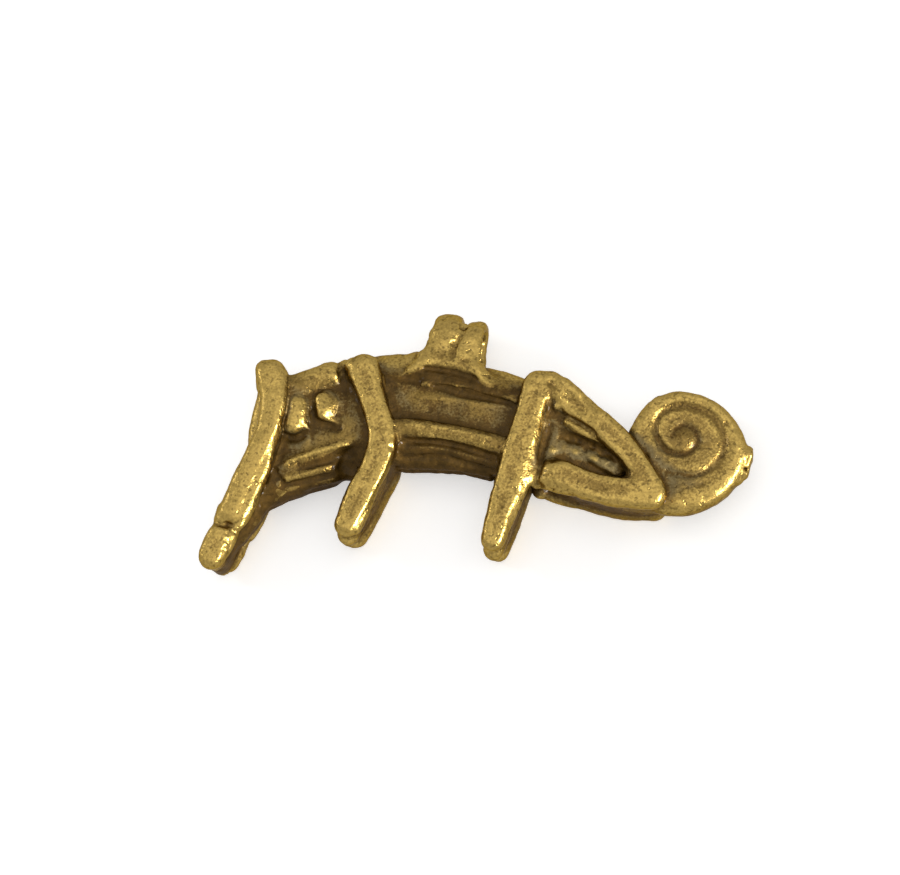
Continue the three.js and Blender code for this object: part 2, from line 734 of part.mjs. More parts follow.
const floorZ = -(legSpread + hindlegThickness / 2 - restFlat);
const floorSpan = 200;
const floorDepth = 20;
const below = new THREE.BoxGeometry(floorSpan, floorSpan, floorDepth);
const belowFloor = solid(below.translate(0, 0, floorZ - floorDepth / 2));
const coilCutter = tail(seam);

place(region.body, "trunk_core", trunk.make(), brownedBrass);
place(region.head, "head_core", cut(headCore(), trunkCutter), brownedBrass);
place(region.tail, "tail_coil", cut(tail(), trunkCutter), brass);
place(region.tail, "casting_gate_stub", cut(gateStub(), coilCutter), rubbedBrass);

const saddleCutters = [];
for (const [sideName, side] of [
  ["left", 1],
  ["right", -1],
]) {
  const put = (group, name, made, material, ...cutters) =>
    place(group, sideName + "_" + name, cut(made, belowFloor, ...cutters), material);

  const crestCutter = crestBar(side, seam);
  const forelegCutter = foreleg(side, seam).made;
  const hindlegCutter = hindleg(side, seam).made;
  put(region.head, "crest_bar", crestBar(side), rubbedBrass, headCutter);
  put(region.head, "snout_pellet", snoutPellet(side), rubbedBrass, headCutter, crestCutter);
  put(region.head, "nape_roll", napeRoll(side), brass, headCutter, crestCutter, forelegCutter);

  const eyeCutters = [headCutter, napeRoll(side, seam)];
  const slitCutter = eyeThread(side, seam);
  const frontLobe = eyeLobe(side, -lobeOffset, 0, frontLobeHeight);
  const rearLobe = eyeLobe(side, lobeOffset, rearLobeLift, rearLobeHeight);
  put(region.head, "eye_thread", eyeThread(side), brownedBrass, ...eyeCutters);
  put(region.head, "eye_front_lobe", frontLobe, rubbedBrass, ...eyeCutters, slitCutter);
  put(region.head, "eye_rear_lobe", rearLobe, rubbedBrass, ...eyeCutters, slitCutter);

  const upperLip = lipThread(side, 0, 0, 0);
  const lowerLip = (grow) => lipThread(side, lowerLipFrontDrop, lowerLipRearDrop, grow);
  const mouthCutters = [headCutter, crestCutter, forelegCutter];
  put(region.head, "upper_lip_thread", upperLip, brass, ...mouthCutters);
  put(region.head, "lower_lip_thread", lowerLip(0), brass, ...mouthCutters);
  put(region.head, "jaw_thread", jawThread(side), brass, ...mouthCutters, lowerLip(seam));

  put(region.forelegs, "foreleg", foreleg(side).made, rubbedBrass, headCutter);
  put(region.hindquarters, "hind_leg", hindleg(side).made, rubbedBrass, trunkCutter);
  const haunchCutters = [trunkCutter, hindlegCutter, coilCutter];
  put(region.hindquarters, "haunch_strip", haunch(side), rubbedBrass, ...haunchCutters);
  put(region.hindquarters, "haunch_thread", haunchThread(side), brass, trunkCutter, haunch(side, seam));

  const saddleCutter = saddle(side, seam);
  saddleCutters.push(saddleCutter);
  for (const line of flankThreads) {
    const thread = flankThread(side, line);
    put(region.body, line.name, thread, brass, trunkCutter, forelegCutter, hindlegCutter, saddleCutter);
  }
  put(region.body, "saddle", saddle(side), brownedBrass, trunkCutter, hindlegCutter);
}

const frontThread = (grow) => cordThread(cordEyeX, frontThreadWidth, cordEyeRise, grow);
const rearThread = cordThread(rearThreadX, rearThreadWidth, cordEyeRise - rearThreadDip);
const cordEyeCutters = [trunkCutter, ...saddleCutters];
place(region.cordEye, "cord_eye_front_thread", cut(frontThread(0), ...cordEyeCutters), rubbedBrass);
const rearCutters = [...cordEyeCutters, frontThread(seam)];
place(region.cordEye, "cord_eye_rear_thread", cut(rearThread, ...rearCutters), rubbedBrass);

const forefootWeb = footWeb(foreleg(1).stops, forefootWebWidth, forefootWebLength, forelegThickness);
const hindfootWeb = footWeb(hindleg(1).stops, hindfootWebWidth, hindfootWebLength, hindlegThickness);
place(region.forelegs, "forefoot_web", forefootWeb, brownedBrass);
place(region.hindquarters, "hindfoot_web", hindfootWeb, brownedBrass);

// The origin is under the middle of the outline, on the table.
const bounds = new THREE.Box3().setFromObject(pendant);
const middle = bounds.getCenter(at(0, 0));
pendant.position.set(-middle.x, -middle.y, -bounds.min.z);

// The least gap between one turn of the tail and the next
const gapSteps = 240;
let leastGap = Infinity;
for (let i = 0; i <= gapSteps; i++) {
  const turns = ((coilTurns - 1) * i) / gapSteps;
  const nextTurn = Array.from({ length: gapSteps }, (_, j) => turns + 0.75 + j / (2 * gapSteps));
  for (const inward of nextTurn.filter((each) => each <= coilTurns)) {
    leastGap = Math.min(leastGap, coilEdges(turns)[1].distanceTo(coilEdges(inward)[0]));
  }
}
console.log("tail coil: least gap between turns " + leastGap.toFixed(2) + " mm");

export default pendant;
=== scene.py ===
"""A small chameleon amulet, cast in brass by the lost-wax way, lying on its right flank.

The maker laid strips, threads and pellets of wax on a core. Here each of those elements is a piece
of its own, and all of them take their surface from one field of distances, so that they run into
each other as they do in the casting, with the fillets, pits and unevenness that it shows.
"""

import functools
import math

import bpy
import numpy as np
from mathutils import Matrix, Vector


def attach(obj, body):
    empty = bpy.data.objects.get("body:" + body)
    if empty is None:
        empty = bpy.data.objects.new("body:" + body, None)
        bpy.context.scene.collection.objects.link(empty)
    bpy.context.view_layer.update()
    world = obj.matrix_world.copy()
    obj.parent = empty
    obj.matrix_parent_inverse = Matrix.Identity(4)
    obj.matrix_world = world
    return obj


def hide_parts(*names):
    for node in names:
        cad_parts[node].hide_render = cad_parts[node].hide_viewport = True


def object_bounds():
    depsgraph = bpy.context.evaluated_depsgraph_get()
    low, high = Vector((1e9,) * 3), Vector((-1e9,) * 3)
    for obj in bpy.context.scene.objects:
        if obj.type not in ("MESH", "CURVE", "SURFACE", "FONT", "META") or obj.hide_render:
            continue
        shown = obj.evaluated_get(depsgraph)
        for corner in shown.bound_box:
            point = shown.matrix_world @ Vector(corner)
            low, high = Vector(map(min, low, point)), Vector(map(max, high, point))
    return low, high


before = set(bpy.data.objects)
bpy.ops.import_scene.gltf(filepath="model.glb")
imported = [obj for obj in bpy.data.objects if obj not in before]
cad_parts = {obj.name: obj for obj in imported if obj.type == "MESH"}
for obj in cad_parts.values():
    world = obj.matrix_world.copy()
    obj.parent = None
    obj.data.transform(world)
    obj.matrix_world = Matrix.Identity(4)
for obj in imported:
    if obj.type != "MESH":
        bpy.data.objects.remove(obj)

import openvdb
from bpy.props import FloatProperty, FloatVectorProperty, IntProperty, PointerProperty
from mathutils import Matrix, Vector

bl_info = {
    "name": "Chameleon Amulet",
    "version": (1, 0, 0),
    "blender": (4, 5, 0),
    "location": "View3D > Sidebar > Amulet",
    "description": "Builds a cast brass chameleon amulet and the table that it lies on",
    "category": "Add Mesh",
}

MM = 0.001
cad_low, cad_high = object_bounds()

# The pendant's own middle, where its drawing starts: the camera looks at it
LOOK_AT = Vector((-2.690, 0.273, 3.73)) * MM

# Sizes and colours


def length(name, description, default, **limits):
    """A length among the settings, in metres."""
    return FloatProperty(
        name=name, description=description, default=default, subtype="DISTANCE", **limits
    )


def colour(name, description, default):
    """A colour among the settings."""
    return FloatVectorProperty(
        name=name, description=description, default=default, subtype="COLOR", size=3
    )


def angle(name, description, degrees):
    """An angle among the settings."""
    return FloatProperty(
        name=name, description=description, default=math.radians(degrees), subtype="ANGLE"
    )


class AmuletCasting(bpy.types.PropertyGroup):
    """How the wax elements run into each other, and how rough the cast surface is."""

    voxel: length(
        "Voxel", "Edge of the cells that the surface is worked out on", 0.145 * MM, min=0.1 * MM
    )
    melt: length("Melt", "How softly one wax element runs into the next", 0.2 * MM)
    softness: length(
        "Softness", "How far an element's edges are rounded, as the blur's deviation", 0.27 * MM
    )
    unevenness: length("Unevenness", "Height of the hand-made waves in the surface", 0.09 * MM)
    grain: length("Grain", "Height of the finest lumps that are part of the shape", 0.028 * MM)
    pit_depth: length("Pit depth", "Depth of the deepest pits left by the casting", 0.2 * MM)
    pit_count: IntProperty(
        name="Pits", description="How many pits the casting left", default=900, min=0
    )
    seed: IntProperty(name="Seed", description="Start of every random draw", default=7, min=0)


class AmuletFinish(bpy.types.PropertyGroup):
    """Colours of the brass, as they show in plain light."""

    # rubbed brass also shows painted highlights on the cord eye's feet, on crumbs, on the eye and at the
    # knee
    bright: colour("Rubbed brass", "Where handling has worn the metal bright", (0.385, 0.26, 0.067))
    dull: colour("Dull brass", "Where the metal has only dulled", (0.2, 0.127, 0.031))
    # brown and warm brown also paint the shade on the sides, undersides and right flank, and a shadow
    # below the cord eye's plate
    brown: colour("Brown", "Old dirt and tarnish in the hollows", (0.032, 0.017, 0.003))
    rust: colour(
        "Warm brown", "Where the dirt is thin and the metal warms it", (0.09, 0.047, 0.009)
    )
    # the patina colour also paints the shade on the right flank, where it lies low
    patina_and_shade: colour("Patina", "Grey-green film on the flat grounds", (0.125, 0.1, 0.05))


class AmuletStage(bpy.types.PropertyGroup):
    """The table, the lamps and the camera."""

    table: colour("Table", "Colour of the table", (0.9, 0.9, 0.9))
    distance: length("Distance", "From the camera to the pendant's middle", 250 * MM)
    lean: angle("Lean", "How far the camera leans from overhead towards the feet", 14)
    swing: angle("Swing", "How far the camera leans from overhead towards the tail", 7)
    focal_length: FloatProperty(
        name="Focal length",
        description="Focal length in millimetres, for a sensor of 36 mm",
        default=100,
        min=1,
    )


# The casting as one field of distances


def camera_axes(settings):
    """Where the camera stands, and what is to the right and up for it."""
    back = Vector((math.tan(settings.swing), -math.tan(settings.lean), 1.0)).normalized()
    up = (Vector((0, 1, 0)) - back * back.y).normalized()
    return LOOK_AT + back * settings.distance, up.cross(back), up


def blurred(field, sigma):
    """The field blurred by three box filters along each axis, sigma in cells."""
    width = max(1, int(round(math.sqrt(4 * sigma * sigma + 1))) | 1)
    if width == 1:
        return field
    half = width // 2
    for axis in range(3):
        field = np.moveaxis(field, axis, 0)
        for _ in range(3):
            padded = np.concatenate(
                [np.repeat(field[:1], half + 1, 0), field, np.repeat(field[-1:], half, 0)]
            )
            total = np.cumsum(padded, axis=0, dtype=np.float64)
            field = ((total[width:] - total[:-width]) / width).astype(np.float32)
        field = np.moveaxis(field, 0, axis)
    return np.ascontiguousarray(field)


def soft_least(first, second, melt):
    """The lesser of two fields, melted together where they are alike."""
    share = np.clip(0.5 + (second - first) / (4 * melt), 0, 1)
    return first * share + second * (1 - share) - 2 * melt * share * (1 - share)


def sight(u, v):
    """The camera, and the point that is u to the right and v above the picture's middle, in mm."""
    eye, right, up = camera_axes(bpy.context.scene.amulet_stage)
    return eye, LOOK_AT + (right * u + up * v) * MM


def smooth_line(places, step):
    """A smooth line through places, with a place about every step."""
    places = np.array(places, float)
    if len(places) == 1:
        return places
    padded = np.concatenate([2 * places[:1] - places[1:2], places, 2 * places[-1:] - places[-2:-1]])
    line = []
    for a, b, c, d in zip(padded, padded[1:], padded[2:], padded[3:]):
        count = max(1, int(np.linalg.norm(c - b) / step))
        for t in np.arange(count) / count:
            bend = (2 * a - 5 * b + 4 * c - d) * t * t + (3 * b - a - 3 * c + d) * t**3
            line.append(b + ((c - a) * t + bend) / 2)
    return np.array([*line, places[-1]])


def fading(count):
    """The strength of each of so many marks along a stroke, which is weaker at its ends."""
    share = np.linspace(0, 1, count) if count > 1 else np.full(1, 0.5)
    return np.minimum(1, STROKE_END + STROKE_RISE * np.minimum(share, 1 - share))


def spread(coarse, shape, cells):
    """A coarse lattice of numbers read at every cell of the grid, smoothly."""
    for axis, count in enumerate(shape):
        place = np.arange(count) / cells
        low = np.minimum(place.astype(int), coarse.shape[axis] - 2)
        share = place - low
        share = (share * share * (3 - 2 * share)).astype(np.float32)
        share = share.reshape([-1 if a == axis else 1 for a in range(3)])
        near, far = coarse.take(low, axis), coarse.take(low + 1, axis)
        coarse = near + (far - near) * share
    return coarse


# How far from an element its distances are known, how far the grid runs past the pendant, and how
# many cells the melted elements are blurred by
BAND = 1.6 * MM
MARGIN = 1.2 * MM
FUSED_BLUR = 0.5

# Steps along a line in mm: where wax is laid or cut, and where a line only blurs or rubs
FINE_STEP = 0.25
COARSE_STEP = 0.4

# How much thicker than its solid an element shows, where the wax was pressed flat and wide, or below
# zero how much thinner
SWELL = {
    "haunch_strip": 0.16 * MM,
    "hind_leg": 0.08 * MM,
    "foreleg": 0.12 * MM,
    "crest_bar": 0.06 * MM,
    "right_crest_bar": -0.2 * MM,
    "eye_front_lobe": 0.2 * MM,
    "eye_thread": -0.08 * MM,
    "eye_rear_lobe": -0.04 * MM,
    "snout_pellet": 0.15 * MM,
    "right_snout_pellet": -0.18 * MM,
    "nape_roll": 0.12 * MM,
    "upper_lip_thread": -0.22 * MM,
    "lower_lip_thread": -0.2 * MM,
    "jaw_thread": -0.3 * MM,
    "haunch_thread": 0.1 * MM,
}

# Elements whose edges stay crisper, thin ones that ran more, and how far the edges of a thin one and
# of any other may be rounded, as a share of how deep their middle lies
SOFTNESS = {"tail_coil": 0.1 * MM}
THIN = {
    "upper_lip_thread",
    "lower_lip_thread",
    "jaw_thread",
    "haunch_thread",
    "upper_rib",
    "lower_rib",
    "belly_thread",
}
THIN_SHARE = 0.4
THICK_SHARE = 0.22

# An element's skin is this far below its neighbour's, as far beyond the border between them
DIVE = 0.25 * MM

# How far round it each measure of shelter looks
SHELTER = {"crease": 0.3 * MM, "fold": 0.6 * MM, "hollow": 1.2 * MM}

# The coil's filling: how far below its turns it stays, how far inside its rim it ends, the bearings
# in which the rim is measured, and how far out it may lie there, as a share of the radius
COIL_FLOOR = 0.06 * MM
COIL_RIM = 0.8 * MM
COIL_BEARINGS = 36
COIL_OUTERMOST = 1.02

# How far from the mid-plane the flanks were pressed flat, and how soft the edge of that is
FLAT_TOP = 3.82 * MM
FLAT_MELT = 0.1 * MM

# Elements that are joined to their twins on the other flank: how far back from their edges the webs
# stay, how far from the mid-plane they reach, and how softly they and the coil's filling join on
WEBBED = ("crest_bar", "snout_pellet", "foreleg", "hind_leg", "haunch_strip")
WEB_SETBACK = 0.3 * MM
WEB_HALF = 2.4 * MM
WEB_MELT = 0.12 * MM

# How softly a filling runs into the rest, and how far past its own radius it is worked out
FILLING_MELT = 0.06 * MM
FILLING_REACH = 1.2 * MM

# Wax filled in between the elements: radius and distance from the pendant's mid-plane in mm, then
# places as the picture shows them, in mm to the right of its middle and above it
FILLINGS = (
    # the neck between a bar and its pellet, and the pellet's flank
    (0.95, 2.6, ((-22.3, -7.2), (-22.9, -9.4))),
    (0.8, 2.6, ((-21.8, -9.2), (-22.4, -10.6), (-23.1, -11.6))),
    # the bar's rounded flank, and its top
    (
        0.85, 2.7,
        ((-17.5, 0.9), (-18.0, -0.6), (-18.5, -2.6), (-19.3, -4.4), (-20.3, -6.8), (-21.3, -8.5)),
    ),
    (0.9, 2.7, ((-18.5, 6.9), (-18.4, 5.0))),
    (0.9, 2.7, ((-17.0, 6.2), (-16.9, 4.6))),
    # the jaw runs on down to the bar's end
    (0.9, 0.4, ((-14.9, -4.7), (-18.5, -6.3), (-20.0, -8.2), (-21.2, -9.9))),
    (1.0, 0.9, ((-17.4, -4.4), (-19.0, -5.6), (-20.3, -7.2), (-21.3, -8.8))),
    (1.1, 0.85, ((-16.9, -1.0), (-17.3, -3.2), (-17.8, -5.0))),
    # the two halves of the eye
    (1.1, 2.1, ((-15.2, 3.3), (-15.65, 1.3))),
    (0.75, 2.25, ((-12.75, 3.9), (-12.6, 2.4))),
    # the cheek, the mouth and the jaw
    (0.9, 1.4, ((-16.3, -1.3), (-13.9, -0.4), (-11.0, 0.3))),
    (0.8, 1.35, ((-16.6, -3.2), (-13.8, -2.3), (-11.2, -1.6))),
    (0.8, 0.9, ((-16.8, -5.0), (-14.4, -4.4), (-11.6, -3.7))),
    # the upper lip
    (0.55, 1.85, ((-16.9, -2.6), (-15.0, -1.9), (-12.8, -1.2), (-10.6, -0.7), (-9.1, 0.1))),
    # the lower lip
    (0.7, 1.45, ((-16.4, -3.9), (-13.5, -3.0), (-11.4, -2.4))),
    # the throat
    (1.0, 0.4, ((-10.2, -0.6), (-9.8, -3.2))),
    # between the nape roll and the foreleg
    (0.6, 1.4, ((-11.4, 6.6), (-10.4, 7.2))),
    # the flat top of the foreleg
    (0.75, 2.85, ((-9.7, 7.3), (-7.8, 7.4))),
    # the plate of the cord eye, down to the saddle
    (0.9, 1.75, ((-1.2, 10.3), (0.6, 10.2), (2.4, 9.8))),
    (0.9, 1.8, ((-1.4, 9.4), (0.4, 9.3), (2.3, 8.9))),
    (0.9, 1.9, ((-1.6, 8.5), (0.2, 8.3), (2.1, 7.9))),
    (0.9, 1.95, ((-2.2, 7.9), (0.0, 7.5), (2.0, 7.0), (2.8, 6.6))),
    (0.5, 1.5, ((1.5, 11.1), (1.3, 10.6))),
    # the broad rib below it
    (0.75, 1.95, ((-3.4, 6.3), (-1.0, 6.1), (1.6, 5.5), (4.0, 4.8), (5.8, 4.3))),
    # the rolls of the belly
    (0.6, 1.85, ((-4.8, -1.1), (-2.1, -1.1), (0.8, -1.5), (4.5, -2.6))),
    (0.6, 0.9, ((-4.8, -2.4), (-2.1, -2.5), (0.8, -2.7), (3.9, -3.3))),
    # the top of the hind leg runs into the haunch
    (0.9, 2.8, ((8.4, 5.5), (9.9, 5.8), (10.9, 5.4), (12.2, 4.2))),
    (0.8, 2.9, ((9.8, 5.1), (10.6, 4.4))),
    (0.8, 2.4, ((10.2, 4.6), (11.0, 3.2))),
    # the face between the hind leg and the haunch
    (0.7, 2.0, ((9.8, 3.2), (9.5, 0.5), (9.2, -2.0), (9.0, -3.9))),
    (0.95, 2.7, ((9.8, -3.2), (11.0, -3.4), (12.2, -3.6))),
    (0.95, 2.7, ((9.7, -4.2), (10.9, -4.5), (12.4, -4.8))),
    (0.9, 2.35, ((9.0, -2.9), (8.8, -4.2))),
    (1.0, 1.75, ((10.2, 2.6), (10.0, 0.8), (9.8, -0.9), (9.9, -2.0))),
    (0.8, 1.8, ((11.3, 0.4), (11.4, -1.2))),
    # the upper arm is broad at the hip
    (0.75, 2.75, ((11.3, 3.6), (12.2, 2.8), (13.6, 1.9), (15.0, 0.8))),
    # the ridge in the haunch's recess, and the recess's end at the knee
    (0.7, 2.5, ((12.0, 1.5), (13.9, 0.6), (15.6, -0.3))),
    (0.9, 1.7, ((14.4, -1.9), (16.8, -3.2))),
    # the coil's side next to the haunch
    (0.7, 0.9, ((20.2, -0.6), (20.5, -1.4), (20.7, -2.2))),
    (
        0.8, 0.7,
        ((21.9, 3.4), (20.5, 2.7), (19.7, 2.0), (19.1, 1.0), (18.8, 0.4), (18.9, -0.5), (19.4, -1.4)),
    ),
)

# Wax filled in on the left flank alone, which the maker left the wider one
LEFT_FILLINGS = (
    # the foreleg's rounded flank
    (
        0.8, 2.7,
        ((-6.1, 0.0), (-6.6, -1.5), (-7.2, -3.0), (-7.8, -4.5), (-8.2, -5.9), (-8.8, -7.4), (-9.5, -8.8)),
    ),
    # the hind leg's rounded flank
    (0.8, 2.75, ((9.7, 4.4), (9.0, 2.8), (8.6, 1.1), (8.2, -0.5), (7.9, -2.2), (7.5, -3.9), (6.9, -5.5))),
    (0.75, 2.75, ((6.9, -5.5), (6.1, -7.2), (5.1, -9.4))),
)

# Where the wax ran softly together after it was laid: radius in mm, then places as in the fillings.
# The surface there runs into its blurred self, wholly so over the core of the radius.
SOFTENED = (
    # the eye, the cheek, the mouth and the jaw
    (0.9, ((-11.9, 4.2), (-11.7, 2.2))),
    (1.2, ((-17.6, -5.7), (-15.6, -5.2), (-13.4, -4.6), (-11.5, -4.1))),
    (1.5, ((-16.7, -1.0), (-16.7, -4.4))),
    (1.5, ((-14.6, -0.6), (-14.6, -4.6))),
    (1.5, ((-12.4, 0.2), (-12.2, -4.0))),
    (1.5, ((-10.4, 1.0), (-10.4, -3.4))),
    (1.1, ((-17.9, -5.4), (-19.9, -8.2), (-21.3, -10.4))),
    # the plate of the cord eye, and the ribs below it
    (1.2, ((-1.5, 8.9), (2.2, 8.4))),
    (1.5, ((-3.4, 6.6), (0.5, 6.5), (5.0, 5.0))),
    # the jaw's edge
    (1.3, ((-16.9, -5.8), (-13.0, -5.0), (-11.0, -4.2))),
    # the plate's top
    (1.3, ((-1.0, 10.0), (1.8, 9.6))),
    # the belly
    (1.2, ((-4.6, -1.7), (0.0, -1.8), (4.4, -3.0))),
    (1.2, ((-4.6, -0.5), (0.0, -0.9), (4.4, -2.1))),
    # the hind leg's flank
    (0.9, ((9.5, 3.6), (8.7, 0.6), (8.0, -1.8), (7.2, -4.6), (5.8, -8.0))),
    # the lower arm's end
    (1.4, ((9.6, -2.4), (9.2, -4.4))),
    # the haunch's recess
    (1.4, ((10.6, 2.8), (10.2, -1.0), (9.4, -3.6))),
    (1.2, ((12.0, 0.6), (14.5, -1.2), (16.8, -2.8))),
    # between the haunch and the coil
    (0.9, ((19.9, 0.2), (20.4, -1.4), (20.9, -3.0))),
)

# How wide a softened place's bell is beside its radius, how far the surface is blurred there, and how
# much the bell is raised before its top is cut flat
SOFTENED_BELL = 0.5
SOFTENED_BLUR = 0.32 * MM
SOFTENED_CORE = 1.6

# A stroke's strength at its ends, how fast it gets stronger from there, and how many of its widths
# away it and a pit still count
STROKE_END = 0.35
STROKE_RISE = 4
BELL_REACH = 2.6

# Strokes of the modelling tool: height and width in mm, then places as in the fillings, and the step
# between them where it leaves beads. A height below zero makes a groove or a pit.
HEAD_STROKES = (
    # the groove between a bar and its pellet
    (-0.4, 0.18, ((-23.8, -8.3), (-22.8, -8.6), (-21.7, -8.7), (-20.9, -8.2))),
    # crumbs and pits in the pellet
    (0.2, 0.13, ((-22.2, -8.9),)),
    (0.2, 0.13, ((-21.5, -9.0),)),
    (0.2, 0.14, ((-22.6, -9.8),)),
    (-0.25, 0.15, ((-22.5, -11.1),)),
    (-0.25, 0.17, ((-22.2, -9.5),)),
    (-0.25, 0.15, ((-22.4, -10.2),)),
    (-0.2, 0.15, ((-21.5, -9.3),)),
    (-0.2, 0.17, ((-23.3, -10.7),)),
    # the floor of the recess behind the cheek
    (0.35, 0.8, ((-10.5, 6.5), (-10.4, 2.7), (-10.2, 0.3))),
    # the end of the nape roll
    (-0.3, 0.2, ((-11.0, 7.2), (-10.8, 5.6))),
    # hollows under the two halves of the eye, and their rims
    (-0.35, 0.25, ((-16.3, 0.3), (-15.3, -0.1), (-14.6, 0.4))),
    (-0.35, 0.25, ((-12.1, 1.2), (-11.3, 0.9), (-10.9, 1.2))),
    (0.15, 0.16, ((-14.5, 1.5), (-13.9, 0.8))),
    (0.15, 0.16, ((-12.3, 2.0), (-11.5, 1.7))),
    # the slit of the eye
    (-0.3, 0.16, ((-13.75, 3.4), (-13.7, 0.9), (-13.75, -0.5))),
    # the twisted upper lip, and the mouth below it
    (0.2, 0.24, ((-16.9, -3.0), (-15.7, -2.2), (-13.5, -1.4), (-10.6, -0.6))),
    (0.13, 0.14, ((-16.5, -2.8), (-15.7, -2.2), (-13.5, -1.4), (-10.8, -0.6)), 0.42),
    (-0.3, 0.2, ((-14.9, -3.1), (-12.8, -2.5), (-11.3, -2.0), (-8.8, -0.8))),
    # the lower lip and the folds of the jaw
    (0.28, 0.24, ((-16.8, -4.2), (-13.7, -3.4), (-12.2, -2.9))),
    (-0.25, 0.22, ((-16.4, -4.7), (-13.9, -4.1), (-11.6, -3.7))),
    (0.2, 0.2, ((-17.7, -6.5), (-16.4, -5.4), (-14.9, -4.7))),
    (-0.5, 0.4, ((-10.9, -2.6), (-9.6, -3.2))),
    (0.25, 0.15, ((-18.9, -6.6), (-19.1, -7.4))),
)
FORELEG_STROKES = (
    # the pit at the elbow
    (-0.25, 0.17, ((-6.0, -0.6), (-5.8, -1.1))),
    # the sole
    (-0.35, 0.22, ((-10.9, -9.4), (-10.2, -9.6))),
    (0.25, 0.25, ((-10.8, -10.3), (-9.9, -10.6))),
)
CORD_EYE_STROKES = (
    # the groove between the two threads fades downwards
    (-0.4, 0.18, ((1.7, 11.7), (1.2, 10.5), (0.5, 9.2), (0.3, 8.2))),
    (-0.3, 0.15, ((0.3, 9.5),)),
    # their feet spread over the back, ahead and behind
    (0.5, 0.5, ((-2.9, 8.4), (-3.9, 7.9))),
    (0.5, 0.25, ((-4.1, 6.7), (-3.1, 7.3), (-2.2, 7.9))),
    (0.45, 0.25, ((3.0, 9.2), (2.7, 7.2), (3.2, 5.9), (4.0, 5.5))),
    # the crease below the plate
    (-0.35, 0.2, ((-2.4, 7.0), (0.1, 6.7), (2.2, 6.1), (3.2, 5.7))),
)
FLANK_STROKES = (
    # the upper rib comes out of rough ground
    (-0.3, 0.35, ((-4.8, 6.1), (-3.0, 5.9))),
    # the groove below the upper rib, and the edge of the flat band
    (-0.35, 0.25, ((-1.7, 5.35), (-0.9, 5.1), (1.5, 4.4), (5.1, 3.7), (6.2, 3.5))),
    (0.18, 0.22, ((-2.8, 4.2), (2.0, 3.7), (6.2, 3.1))),
    # the middle rib is the broad one, with a groove below it
    (0.2, 0.6, ((-4.4, 1.3), (-1.0, 1.1), (2.0, 0.2), (4.6, -0.7))),
    (-0.3, 0.25, ((-4.3, -0.2), (0.0, -0.6), (4.5, -1.9))),
    # the groove below the lower rib
    (-0.3, 0.18, ((-4.6, -1.9), (-0.9, -1.8), (1.5, -2.4), (4.4, -3.2))),
)
HAUNCH_STROKES = (
    # the groove inside the upper arm, and the hollow below the ridge in the recess
    (-0.3, 0.2, ((11.6, 2.2), (13.0, 1.5), (14.6, 0.6))),
    (-0.4, 0.35, ((11.4, 0.2), (13.4, -0.4), (15.4, -1.3), (17.4, -2.7))),
    # the groove between the hind leg and the haunch
    (-0.3, 0.22, ((10.1, 1.0), (9.6, -0.6), (9.1, -2.4), (8.5, -4.6))),
    # pits and crumbs in the recess
    (-0.25, 0.17, ((12.0, -0.2),)),
    (-0.3, 0.17, ((12.9, -0.4),)),
    (-0.25, 0.2, ((13.6, -1.2),)),
    (-0.3, 0.15, ((14.3, -0.9),)),
    (-0.3, 0.2, ((15.2, -1.7),)),
    (-0.2, 0.15, ((16.0, -2.6),)),
    (0.2, 0.2, ((14.4, -2.1),)),
    (0.2, 0.15, ((12.6, -1.4),)),
    # the upper arm comes out from under the hip, with a step and a notch in the outline
    (-1.0, 0.35, ((11.5, 4.6), (12.3, 4.2), (13.3, 3.2))),
    (-0.8, 0.4, ((11.5, 3.9), (12.4, 3.5), (13.5, 2.7), (14.3, 2.0))),
    (-0.45, 0.45, ((13.4, 4.3), (14.0, 3.7), (14.8, 3.1))),
    # the recess runs on towards the knee
    (-0.35, 0.35, ((16.6, -3.2), (17.8, -3.4), (18.8, -3.2))),
    # crumbs of metal
    (0.35, 0.18, ((10.7, 3.1),)),
    (0.3, 0.17, ((10.8, 0.3), (11.2, 0.4))),
    (0.3, 0.2, ((10.3, -1.2),)),
    (0.25, 0.17, ((9.9, -2.3), (10.3, -2.1))),
)
TAIL_STROKES = (
    # the groove between the turns of the coil, from outside to the middle
    (
        -0.45, 0.2,
        (
            (21.9, -3.4), (24.2, -3.7), (26.2, -2.9), (27.4, -1.2), (27.3, 0.8), (25.9, 2.6),
            (23.2, 3.3), (21.3, 2.6), (20.6, 1.3), (20.9, -0.2), (21.9, -1.3), (23.6, -1.5),
            (24.8, -0.5), (24.6, 0.8), (23.6, 1.4), (22.6, 1.0), (22.3, 0.3),
        ),
    ),
    (0.25, 0.5, ((23.6, 0.0),)),
    (0.2, 0.16, ((26.2, -2.9), (26.9, -2.2))),
    (0.2, 0.16, ((20.1, 3.4), (20.6, 4.0), (21.2, 4.3))),
    # the torn edge of the casting gate
    (-0.2, 0.22, ((29.8, -3.1),)),
    (0.4, 0.35, ((30.0, -1.7),)),
    (0.4, 0.28, ((29.0, -4.3),)),
)
STROKES = (
    *HEAD_STROKES,
    *FORELEG_STROKES,
    *CORD_EYE_STROKES,
    *FLANK_STROKES,
    *HAUNCH_STROKES,
    *TAIL_STROKES,
)

# The cast skin: how long its hand-made waves and the waves of its grain are, with their share of the
# height, and the pits' least and largest radius in mm and least strength
WAVES = ((3.1 * MM, 1.0), (1.5 * MM, 0.6))
GRAIN = ((0.62 * MM, 1.0), (0.36 * MM, 0.8))
PIT_RADII = (0.09, 0.2)
PIT_LEAST = 0.2

# How high above the table, in mm, a line of sight is followed from, and in how many places
SIGHT_TOP = 9
SIGHT_PLACES = 400

# How much darker than the rest a place is: on the pendant's sides as painted shade and less rubbing, on
# its right flank and on undersides as painted shade, and in the middle of the coil
SIDE_SHADE_AND_DIRT = 0.16
RIGHT_FLANK_SHADE = 0.08
UNDERSIDE_SHADE = 0.35
COIL_MIDDLE_DARKENING = 0.1
SHADED_UNDERSIDES = {"trunk_core", "head_core", "lower_rib", "belly_thread"}
